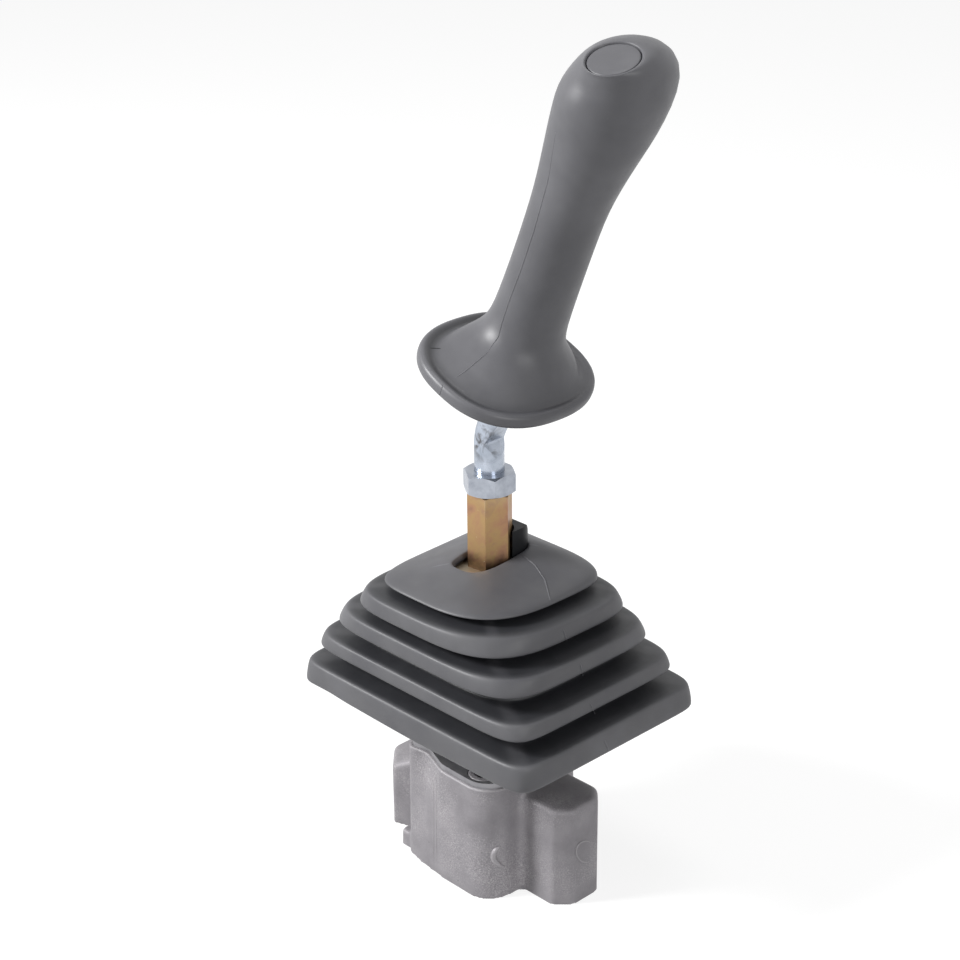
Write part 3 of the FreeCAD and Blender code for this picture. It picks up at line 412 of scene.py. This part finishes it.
def bead(name, track, width, height, material, body):
    """A thin raised line on a surface: track holds points and normals in metres."""
    points = []
    count = len(track)
    around = len(BEAD_SECTION)
    for k, (point, normal) in enumerate(track):
        before = track[max(k - 1, 0)][0]
        after = track[min(k + 1, count - 1)][0]
        across = (after - before).cross(normal).normalized()
        taper = min(1.0, BEAD_GROWTH * min(k, count - 1 - k) / count + BEAD_TIP)
        for side, lift in BEAD_SECTION:
            aside = across * side * width * MM * taper
            points.append((point + aside + normal * lift * height * MM * taper) / MM)
    faces = tube_faces(count, around)
    faces += [tuple(range(around))[::-1], tuple((count - 1) * around + j for j in range(around))]
    return piece(name, points, faces, material, body)


def seen_line(skin, stops, count=24):
    """Points and normals of a surface along a line of the photograph's pixels."""
    found = [seen_on(skin, x, y) for x, y in between(stops, count)]
    return [(point, normal) for point, normal in found if point is not None]


def seen_arc(skin, middle, radius_x, radius_y, start, end, count):
    """The same along an arc of the pixels, from start to end in degrees."""
    found = []
    for k in range(count):
        angle = math.radians(start + (end - start) * k / (count - 1))
        x = middle[0] + radius_x * math.cos(angle)
        y = middle[1] - radius_y * math.sin(angle)
        found.append(seen_on(skin, x, y))
    return found


# Rubber boot: points round it, thickness, how far the lining's steps keep above the lower edges, and how
# far a groove lies in from the rim over it
BOOT_AROUND = 128
BOOT_WALL = 2.6
LINING_STEP = 1.0
FOLD_DEPTH = 9.0
# Rims from the hem up: half sizes, squareness, lower edge, height of the band, middle
BOOT_RIMS = [
    (77.2, 59.8, 15.0, hem_height, 12.0, 1.7, 1.7),
    (71.3, 55.3, 9.5, 107.2, 7.3, 0.7, 0.8),
    (64.3, 53.1, 5.1, 122.9, 8.0, 0.0, 0.0),
    (55.1, 51.6, 3.31, 136.8, 8.5, 0.1, 0.2),
]
# Dome over them, in the same order; it has no band
DOME = (43.2, 44.6, 2.75, 149.6, 0.0, 0.2, 0.6)
# The sides on -X and +Y bow out less than the other two: this share less for a squareness of 2
FLATTER_SIDES = 0.3
# Nearest that a corner may come to a sharp one, and how far the points gather at the corners
SHARPEST_CORNER = 0.985
CORNER_GATHER = 0.15
# Dome's top and its tilt towards +Y, and the hole in it: half sizes, squareness, middle along Y
DOME_TOP = 160.6
DOME_TILT = math.radians(7.0)
HOLE = (11.3, 19.6, 2.6, 1.0)
# Dome from its lower edge to the hole: share of the way in, share of the way up
DOME_PROFILE = [(0.0, 0.0), (-0.006, 0.05), (0.0, 0.14), (0.02, 0.22), (0.07, 0.31), (0.15, 0.4),
                (0.27, 0.51), (0.42, 0.64), (0.58, 0.78), (0.74, 0.9), (0.87, 0.97), (0.95, 1.0),
                (0.985, 0.99), (1.0, 0.93)]
# Share by which the lining's step inwards fades towards the dome's top, where it steps down instead
LINING_FADE = 0.6
# Face of a rim's band: distance in, height as a share of the band, painted shade
BAND_PROFILE = [(1.2, -0.01, 0.0), (0.35, 0.02, 0.0), (0.0, 0.12, 0.0), (0.1, 0.5, 0.0), (0.45, 0.86, 0.0),
                (0.8, 0.95, 0.0), (1.6, 1.0, 0.45)]
# How much rounder a band is along its upper edge
BAND_ROUNDING = 0.26
# First step of the shelf behind a band: distance in, rise over the band, painted shade
SHELF_EDGE = (2.6, 0.15, 0.95)
# Groove behind it: distance out from its bottom, rise over the shelf, painted shade
SHELF_RISE = 1.6
GROOVE_FLOOR = [(3.0, -0.5, 0.95), (0.6, 0.0, 1.0), (0.0, 0.8, 1.0)]
# Its upper side: distance out, rise over the next rim's lower edge, painted shade
GROOVE_ROOF = [(0.0, -0.9, 1.0), (0.8, -0.1, 1.0), (FOLD_DEPTH - 2.4, -0.25, 1.0)]
# Light that falls into the folds at the corners: share of the dark it takes away, width of the corner
CORNER_LIGHT = 0.32
CORNER_WIDTH = 0.004
# Hem's lower edge against the straight one: place along X and drop, on the -Y side
HEM_SAG = [(-80.0, 4.2), (-71.0, 0.4), (-62.0, -1.6), (-52.0, -2.2), (-40.0, 0.0), (-18.0, 1.0), (6.0, 1.6),
           (60.0, 0.6), (80.0, 0.0)]
# Share of that drop which is built, the height over which it fades, and the strip on -Y in which it sets in
DROOP_SHARE = 0.45
DROOP_FADE = 13.0
DROOP_START = 30.0
DROOP_STRIP = 25.0
# Slight ripple along the whole hem
RIPPLE = 0.25
RIPPLE_LENGTH = 13.0


def squareness(corner_x, corner_y):
    """Squareness of a rounded square whose corner lies at these shares of its half sizes."""
    low, high = 2.0, 40.0
    for _ in range(30):
        middle = (low + high) / 2
        if corner_x ** middle + corner_y ** middle > 1:
            low = middle
        else:
            high = middle
    return middle


def rim_ring(half_x, half_y, square, height, middle_x, middle_y):
    """Rounded square with bowed sides, flatter on -X and +Y; its points gather at the corners."""
    flatter = 1 - FLATTER_SIDES * (2 / square) ** 2
    corner = 0.5 ** (1 / square)
    flat_corner = min(corner / flatter, SHARPEST_CORNER)
    one = squareness(corner, flat_corner)
    both = squareness(flat_corner, flat_corner)
    points = []
    for k in range(BOOT_AROUND):
        turn = 2 * math.pi * k / BOOT_AROUND
        turn += CORNER_GATHER * math.sin(4 * turn)
        c = math.cos(turn)
        s = math.sin(turn)
        wide = half_x * (flatter if c < 0 else 1.0)
        deep = half_y * (flatter if s > 0 else 1.0)
        here = (square, one, both)[(c < 0) + (s > 0)]
        reach = (abs(c) ** here + abs(s) ** here) ** (-1 / here)
        points.append((middle_x + wide * c * reach, middle_y + deep * s * reach, height))
    return points


def dome_rings(wall):
    """Rings of the dome from its lower edge to the oval hole; wall insets them for the lining."""
    half_x, half_y, square, low, _, middle_x, middle_y = DOME
    hole_x, hole_y, hole_square, hole_middle = HOLE
    rings = []
    for inward, climb in DOME_PROFILE:
        inset = wall * (1 - LINING_FADE * climb)
        ring = rim_ring(half_x + (hole_x - half_x) * inward - inset,
                        half_y + (hole_y - half_y) * inward - inset,
                        square + (hole_square - square) * inward, 0.0,
                        middle_x * (1 - inward), middle_y + (hole_middle - middle_y) * inward)
        height = low + (DOME_TOP - low) * climb - wall * climb
        rings.append([(x, y, height + math.tan(DOME_TILT) * (y - hole_middle) * climb) for x, y, _ in ring])
    return rings


def corner_light(k):
    """How near one of the ring's points is to a corner of the boot, where the folds open and catch light."""
    turn = 2 * math.pi * k / BOOT_AROUND
    return math.exp(-(math.sin(2 * turn) ** 2 - 1.0) ** 2 / CORNER_WIDTH)


def boot_skin():
    """Outer rings from the hem's underside to the hole, each with its painted shade, darkest deep in a fold.
    """
    rings = []
    for rim, above in zip(BOOT_RIMS, BOOT_RIMS[1:] + [DOME]):
        half_x, half_y, square, low, band, middle_x, middle_y = rim
        next_x, next_y, next_square, next_low, _, next_mx, next_my = above
        for inward, share, dark in BAND_PROFILE:
            rounder = square * (1 - BAND_ROUNDING * share)
            ring = rim_ring(half_x - inward, half_y - inward, rounder, low + band * share, middle_x, middle_y)
            rings.append((ring, dark))
        top = low + band
        inward, rise, dark = SHELF_EDGE
        rounder = square * (1 - BAND_ROUNDING)
        ring = rim_ring(half_x - inward, half_y - inward, rounder, top + rise, middle_x, middle_y)
        rings.append((ring, dark))
        groove = [(out, top + SHELF_RISE + rise, dark) for out, rise, dark in GROOVE_FLOOR]
        groove += [(out, next_low + rise, dark) for out, rise, dark in GROOVE_ROOF]
        for out, height, dark in groove:
            ring = rim_ring(next_x - FOLD_DEPTH + out, next_y - FOLD_DEPTH + out, next_square, height,
                            next_mx, next_my)
            rings.append((ring, dark))
    return rings + [(ring, 0.0) for ring in dome_rings(0.0)]


def boot_lining():
    """Inner rings from the hole down to the hem."""
    wall = BOOT_WALL
    # The lining is painted fully shaded
    rings = [(ring, 1.0) for ring in dome_rings(wall)[::-1]]
    above = DOME
    for rim in BOOT_RIMS[::-1]:
        half_x, half_y, square, low, band, middle_x, middle_y = rim
        next_x, next_y, next_square, next_low, _, next_mx, next_my = above
        inner = (next_x - FOLD_DEPTH - wall, next_y - FOLD_DEPTH - wall, next_square)
        rings.append((rim_ring(*inner, next_low + LINING_STEP, next_mx, next_my), 1.0))
        rings.append((rim_ring(*inner, low + band + SHELF_RISE - wall, next_mx, next_my), 1.0))
        for height in (low + band - wall, low + LINING_STEP):
            rings.append((rim_ring(half_x - wall, half_y - wall, square, height, middle_x, middle_y), 1.0))
        above = rim
    return rings


def hem_droop(x, y, z):
    """The free hem's lower edge isn't straight: it sags most by the -X corner."""
    reach = max(0.0, 1.0 - (z - hem_height) / DROOP_FADE)
    side = min(1.0, max(0.0, (-y - DROOP_START) / DROOP_STRIP))
    drop = np.interp(x, [p[0] for p in HEM_SAG], [p[1] for p in HEM_SAG])
    return x, y, z - DROOP_SHARE * reach * (side * drop + RIPPLE * math.sin(x / RIPPLE_LENGTH + 1.0))


def make_boot():
    """The stepped boot as one closed skin, outside and lining."""
    rings = boot_skin() + boot_lining()
    points = [hem_droop(*p) for ring, _ in rings for p in ring]
    # Each point's painted shade, lifted at the corners where light falls into the folds
    painted_shades = [dark * (1 - CORNER_LIGHT * corner_light(k)) for _, dark in rings for k in range(BOOT_AROUND)]
    faces = tube_faces(len(rings), BOOT_AROUND, closed=True)
    return piece("boot_bellows", points, faces, boot_rubber, "lever", ["rubber_boot"],
                 levels=1, painted_shades=painted_shades)


# Grip: points round it, middle of its cap across the lean, along Y and along it, and the cap's two leans
GRIP_AROUND = 64
CAP_PLACE = Vector((3.0, -7.0, 197.4))
CAP_LEAN_FRONT = math.radians(22.0)
CAP_LEAN_SIDE = math.radians(14.0)
# Along the lean: distance from the bend, half size across it and along Y, shift across it and along Y,
# squareness
GRIP_SECTIONS = [
    (51.6, 24.1, 28.0, 1.95, -4.9, 2.4),
    (56.6, 19.9, 21.5, 0.96, -2.4, 2.1),
    (62.0, 17.8, 18.3, 0.36, -0.9, 2.0),
    (68.5, 16.7, 16.8, 0.0, -0.2, 2.0),
    (85.0, 16.2, 16.5, 0.0, 0.1, 2.0),
    (102.5, 16.0, 16.3, 0.0, 0.2, 2.0),
    (118.0, 16.0, 16.5, 0.0, 0.2, 2.0),
    (129.5, 16.3, 17.0, 0.0, 0.3, 2.0),
    (140.0, 17.6, 17.8, 0.0, 0.8, 2.0),
    (150.0, 19.2, 18.9, 0.0, 1.4, 2.0),
    (160.0, 20.8, 20.6, 0.0, 2.4, 2.0),
    (169.0, 21.8, 22.9, 0.0, 3.7, 2.0),
]
# Head above them, turning to the slope of its top: distance, half sizes, shifts, share of the slope
HEAD_SECTIONS = [
    (178.5, 22.2, 25.2, -0.1, 5.2, 0.28),
    (186.8, 21.5, 25.6, -0.1, 5.9, 0.55),
    (193.4, 19.5, 21.9, 0.5, 3.2, 0.8),
    (197.4, 16.7, 17.5, 1.8, -1.8, 0.95),
    (198.9, 13.9, 14.1, 2.5, -5.0, 1.0),
]
# Round seat of the cap: radius, height over the cap's middle
CAP_SEAT = [(12.2, 1.75), (11.5, 1.6), (11.1, 1.1), (11.05, -1.7)]
# Cap: radius, height over its middle, from the foot of its stem
CAP_PROFILE = [(8.2, -8.7), (8.4, -8.5), (8.4, -1.75), (10.7, -1.7), (10.9, -1.4), (10.9, 0.7), (10.6, 1.15),
               (10.0, 1.3), (9.0, 1.4), (5.0, 1.6), (1.0, 1.65)]
# Guard's lower edge along the lean; its half sizes, shift across the lean and along Y, squareness
SKIRT_START = 40.0
SKIRT = (35.6, 40.0, 2.5, -7.3, 2.4)
# Guard: distance in from its rim and height over its lower edge, outside and inside
SKIRT_OUTSIDE = [(1.5, 0.0), (0.4, 0.5), (0.0, 1.8), (0.0, 4.2), (0.5, 5.6), (1.6, 6.4), (3.0, 6.3),
                 (4.6, 5.4), (6.2, 5.5), (8.2, 7.0)]
# Step of the outside that is a crease, and the painted shade of the rings from the one before it on
SKIRT_CREASE = 7
CREASE_DARK = [0.2, 0.75, 0.75, 0.3]
# The crease's painted shade is strongest on one side: middle and swing of that, and the side's angle
CREASE_SHADE = 0.6
CREASE_SWING = 0.4
CREASE_SIDE = math.radians(40)
SKIRT_INSIDE = [(13.0, 4.2), (6.5, 3.0), (4.0, 2.0), (3.0, 0.5)]
# Bore and the guard's underside: height over its lower edge, half sizes, shift across the lean and along Y
GRIP_FOOT = [(8.0, 11.9, 11.9, 0.0, 0.0), (0.8, 11.9, 11.9, 0.0, 0.0), (0.8, 12.6, 12.6, 0.0, 0.0),
             (5.0, 13.2, 14.0, 0.3, -0.8)]


def on_lever(x, y, along):
    """A point of the leaning upper lever, in the row frame."""
    return (x * math.cos(LEVER_LEAN) + along * math.sin(LEVER_LEAN), y,
            bend_height - x * math.sin(LEVER_LEAN) + along * math.cos(LEVER_LEAN))


def round_share(k, square):
    """Unit point k of a ring of this squareness."""
    angle = 2 * math.pi * k / GRIP_AROUND
    c = math.cos(angle)
    s = math.sin(angle)
    return math.copysign(abs(c) ** (2 / square), c), math.copysign(abs(s) ** (2 / square), s)


def grip_ring(along, half_x, half_y, side, shift, square=2.0):
    """Ring square to the leaning lever."""
    return [on_lever(side + half_x * c, shift + half_y * s, along)
            for c, s in (round_share(k, square) for k in range(GRIP_AROUND))]


def slope(share):
    """Turn of the head's sloping top, where the cap lies, or a share of it."""
    return Matrix.Rotation(-CAP_LEAN_SIDE * share, 3, "Y") @ Matrix.Rotation(CAP_LEAN_FRONT * share, 3, "X")


def head_ring(along, half_x, half_y, side, shift, share):
    """Ring turned by a share of the top's slope."""
    turned = slope(share)
    middle = Vector((side, shift, along))
    return [on_lever(*(middle + turned @ Vector((half_x * c, half_y * s, 0))))
            for c, s in (round_share(k, 2.0) for k in range(GRIP_AROUND))]


def cap_ring(radius, rise):
    """Round ring of the cap or its seat, at this rise over the cap's middle."""
    middle = CAP_PLACE + slope(1.0) @ Vector((0, 0, rise))
    return head_ring(middle.z, radius, radius, middle.x, middle.y, 1.0)


def skirt_ring(inward, up):
    """Ring of the guard, this far in from its rim and up from its lower edge."""
    half_x, half_y, side, shift, square = SKIRT
    return grip_ring(SKIRT_START + up, half_x - inward, half_y - inward, side, shift, square)


def make_grip():
    """The grip from its bore out round the guard, up the handle and into the cap's seat."""
    rings = [grip_ring(SKIRT_START + up, *section) for up, *section in GRIP_FOOT]
    rings += [skirt_ring(*step) for step in SKIRT_INSIDE + SKIRT_OUTSIDE]
    rings += [grip_ring(*section) for section in GRIP_SECTIONS]
    rings += [head_ring(*section) for section in HEAD_SECTIONS]
    rings += [cap_ring(*step) for step in CAP_SEAT]
    points = [p for ring in rings for p in ring]
    faces = tube_faces(len(rings), GRIP_AROUND)
    faces.append(tuple(range(len(points) - GRIP_AROUND, len(points))))
    # Painted shade in the guard's crease, strongest on one side
    dark = [0.0] * len(rings)
    first = len(GRIP_FOOT) + len(SKIRT_INSIDE) + SKIRT_CREASE - 1
    dark[first:first + len(CREASE_DARK)] = CREASE_DARK
    sides = [CREASE_SHADE - CREASE_SWING * math.cos(2 * math.pi * k / GRIP_AROUND - CREASE_SIDE)
             for k in range(GRIP_AROUND)]
    painted_shades = [ring_shade * side for ring_shade in dark for side in sides]
    return piece("hand_grip", points, faces, grip_rubber, "lever", ["grip"],
                 levels=1, painted_shades=painted_shades)


def make_cap():
    """The cap with its stem."""
    rings = [cap_ring(*step) for step in CAP_PROFILE]
    points = [p for ring in rings for p in ring]
    faces = tube_faces(len(rings), GRIP_AROUND)
    faces.append(tuple(range(GRIP_AROUND))[::-1])
    faces.append(tuple(range(len(points) - GRIP_AROUND, len(points))))
    return piece("thumb_cap", points, faces, grip_rubber, "lever", ["grip_cap"], levels=1)


# Casting: size of its fine mesh, how often that is softened, and how far each time
CAST_VOXEL = 0.9
CAST_SOFTENING = 8
SOFTENING_STEP = 0.5
# Heights between which its outside is softened, and where over the foot that sets in and is full
SOFT_FROM = 0.6
SOFT_TO = 59.0
FOOT_START = 0.5
FOOT_FADE = 3.0
# A point is on the outside if a ray that starts this far off it meets nothing
RAY_START = 0.5
# Smaller ear of the solid: its inner end along X, and the heights between which its top lies
EAR_END = -44.0
EAR_TOP_FROM = 33.0
EAR_TOP_TO = 50.0
# Its near side: inner end along X, start and end towards -Y, and the depth over which the move grows
EAR_SIDE_END = -45.0
EAR_SIDE_FROM = 8.0
EAR_SIDE_TO = 17.0
EAR_SIDE_GROWTH = 7.4
# Its chamfer lies beyond this along X
EAR_CHAMFER = -52.0
# What the photograph shows against it: top lower, near side further out, chamfer at its end drawn in
EAR_DROP = 8.5
EAR_WIDER = 5.5
EAR_DRAWN = 6.0


def points_of(mesh):
    """A mesh's points as rows of x, y and z in metres."""
    flat = np.empty(len(mesh.vertices) * 3)
    mesh.vertices.foreach_get("co", flat)
    return flat.reshape(-1, 3)


def correct_ear(mesh):
    """Moves the smaller ear's top, near side and chamfer to where the photograph shows them."""
    points = points_of(mesh)
    x, y, z = points.T.copy()
    top = (x < EAR_END * MM) & (z > EAR_TOP_FROM * MM) & (z < EAR_TOP_TO * MM)
    side = (x < EAR_SIDE_END * MM) & (y < -EAR_SIDE_FROM * MM) & (y > -EAR_SIDE_TO * MM)
    share = np.clip((-y / MM - EAR_SIDE_FROM) / EAR_SIDE_GROWTH, 0.0, 1.0) * side
    points[top, 2] -= EAR_DROP * MM
    points[:, 1] -= EAR_WIDER * MM * share
    points[:, 0] += EAR_DRAWN * MM * share * (x < EAR_CHAMFER * MM)
    mesh.vertices.foreach_set("co", points.ravel())


def outer_share(mesh, points, true_skin):
    """How far each point may be softened; points in bores and on machined faces go to the true skin."""
    own_skin = BVHTree.FromPolygons([v.co for v in mesh.vertices], [p.vertices for p in mesh.polygons])
    outer = np.zeros(len(points))
    for k, vertex in enumerate(mesh.vertices):
        if SOFT_FROM < vertex.co.z / MM < SOFT_TO:
            hit = own_skin.ray_cast(vertex.co + vertex.normal * RAY_START * MM, vertex.normal)[0]
            outer[k] = 1.0 if hit is None else 0.0
        if not outer[k]:
            points[k] = true_skin.find_nearest(vertex.co)[0]
    return outer * np.clip((points[:, 2] / MM - FOOT_START) / FOOT_FADE, 0.0, 1.0)


def soften(mesh, points, share):
    """Draws each point by its share towards the middle of its neighbours, several times."""
    edges = np.empty(len(mesh.edges) * 2, dtype=np.int32)
    mesh.edges.foreach_get("vertices", edges)
    first, second = edges.reshape(-1, 2).T
    neighbours = np.bincount(edges, minlength=len(points)).reshape(-1, 1)
    for _ in range(CAST_SOFTENING):
        total = np.zeros_like(points)
        np.add.at(total, first, points[second])
        np.add.at(total, second, points[first])
        points += SOFTENING_STEP * share[:, None] * (total / neighbours - points)


def make_casting():
    """The casting with edges as soft as sand leaves them, its smaller ear corrected, its bores true."""
    sharp = frame["nodes"]["valve_body"].data.copy()
    correct_ear(sharp)
    obj = placed("valve_casting", sharp, cast_iron, "valve", ["valve_body"])
    true_skin = skin_of(obj)
    remesh = obj.modifiers.new("remesh", "REMESH")
    remesh.mode = "VOXEL"
    remesh.voxel_size = CAST_VOXEL * MM
    fine = bpy.data.meshes.new_from_object(obj.evaluated_get(bpy.context.evaluated_depsgraph_get()))
    obj.modifiers.remove(remesh)
    points = points_of(fine)
    soften(fine, points, outer_share(fine, points, true_skin))
    fine.vertices.foreach_set("co", points.ravel())
    dress(fine, cast_iron)
    obj.data = fine
    bpy.data.meshes.remove(sharp)
    return obj


boot = make_boot()
grip = make_grip()
make_cap()
casting = make_casting()
bpy.context.view_layer.update()
boot_surface = skin_of(boot)
grip_surface = skin_of(grip)
cast_surface = skin_of(casting)

# Mould's parting line over the boot's +X side, one stop list per band
BOOT_SEAMS = [
    [(520, 553), (535, 565), (545, 580), (551, 603)],
    [(563, 629), (567, 641)],
    [(580, 663), (583, 676)],
    [(590, 703), (595, 714)],
    [(604, 739), (611, 756)],
]
for number, stops in enumerate(BOOT_SEAMS):
    line = seen_line(boot_surface, stops, 30 if number == 0 else 12)
    bead("boot_parting_line_%d" % (number + 1), line, width=0.8, height=0.3,
         material=boot_rubber, body="lever")

# Parting line down the grip's -Y side, and over its guard
GRIP_SEAMS = [
    [(556, 130), (548, 180), (534, 230), (520, 272), (510, 298), (502, 322), (498, 337), (492, 345),
     (487, 353)],
    [(487, 353), (476, 362), (464, 372), (455, 378)],
    [(443, 384), (440, 392), (439, 395)],
]
for number, stops in enumerate(GRIP_SEAMS):
    line = seen_line(grip_surface, stops, 60 if number == 0 else 16)
    bead("grip_parting_line_%d" % (number + 1), line, width=0.7, height=0.2,
         material=grip_rubber, body="lever")

# Casting: its double parting line, the ring of a core on the large ear, a gate's crescent, a rib's foot
CAST_SEAMS = (433.4, 436.0)
for number, x in enumerate(CAST_SEAMS):
    line = seen_line(cast_surface, [(x, 772), (x, 868)], 40)
    bead("cast_parting_line_%d" % (number + 1), line, width=0.55, height=0.16,
         material=cast_iron, body="valve")
cast_marks = [
    ("cast_ring", seen_arc(cast_surface, (585.5, 851.5), 9.5, 10.5, 60, 300, 40), 1.1, 0.5),
    ("cast_crescent", seen_arc(cast_surface, (506, 856), 12.5, 10.5, 115, 262, 24), 3.2, 1.3),
    ("cast_rib_mark", seen_line(cast_surface, [(509.7, 878), (510.3, 889)], 10), 0.6, 0.3),
]
for name, line, width, height in cast_marks:
    bead(name, line, width, height, cast_iron, "valve")

# Dark scuff on the guard
scuff = seen_line(grip_surface, [(430, 348), (441, 348.6)], 12)
bead("grip_scuff", scuff, width=0.7, height=0.05, material=seal_rubber, body="lever")


# Lights, background and floor
LAMPS_AIM = Vector((0, 0, 0.2))


def soft_lamp(name, place, size, power):
    """A round lamp of this size in metres that points at the object."""
    data = bpy.data.lights.new(name, "AREA")
    data.shape = "DISK"
    data.size = size
    data.energy = power
    lamp = bpy.data.objects.new(name, data)
    lamp.location = place
    lamp.rotation_euler = (LAMPS_AIM - Vector(place)).to_track_quat("-Z", "Y").to_euler()
    bpy.context.scene.collection.objects.link(lamp)


soft_lamp("key_light", (-0.95, -1.25, 1.15), 0.55, 42)
soft_lamp("fill_light", (1.7, -0.4, 0.8), 0.7, 9)
soft_lamp("top_light", (-0.1, 0.1, 1.9), 0.7, 5)


def looked_at(tree):
    """1 for what the eye, a reflection or glass sees, 0 for what lights the object."""
    rays = tree.nodes.new("ShaderNodeLightPath").outputs
    seen = add(tree, "Math", {0: rays["Is Camera Ray"], 1: rays["Is Glossy Ray"]}, operation="MAXIMUM")
    return add(tree, "Math", {0: seen, 1: rays["Is Transmission Ray"]}, operation="MAXIMUM")


# The world lights the object softly, and looks white
WORLD_LIGHT = 0.3
world = bpy.data.worlds.new("studio")
bpy.context.scene.world = world
world.use_nodes = True
sky = world.node_tree
background = sky.nodes["Background"]
fill(sky, background, {"Color": "#ffffff", "Strength": WORLD_LIGHT})
white = add(sky, "Background", {"Color": "#ffffff", "Strength": 1.0})
chosen = add(sky, "MixShader", {0: looked_at(sky), 1: background.outputs[0], 2: white})
fill(sky, sky.nodes["World Output"], {"Surface": chosen})

# The floor is grey paper that looks nearly white and keeps the object's shadow
FLOOR_GLOW = 0.8
FLOOR_REACH = 3.0
floor_mesh = bpy.data.meshes.new("studio_floor")
floor_mesh.from_pydata([(-FLOOR_REACH, -FLOOR_REACH, 0), (FLOOR_REACH, -FLOOR_REACH, 0),
                        (FLOOR_REACH, FLOOR_REACH, 0), (-FLOOR_REACH, FLOOR_REACH, 0)], [], [(0, 1, 2, 3)])
floor = bpy.data.objects.new("studio_floor", floor_mesh)
bpy.context.scene.collection.objects.link(floor)
paper, tree, shader, _ = new_material("white_floor_paper")
glow = add(tree, "Math", {0: looked_at(tree), 1: FLOOR_GLOW}, operation="MULTIPLY")
fill(tree, shader, {"Base Color": "#9c9c9c", "Roughness": 0.9, "Specular IOR Level": 0.0,
                    "Emission Color": "#ffffff", "Emission Strength": glow})
floor_mesh.materials.append(paper)

bpy.context.scene.view_settings.view_transform = "Standard"
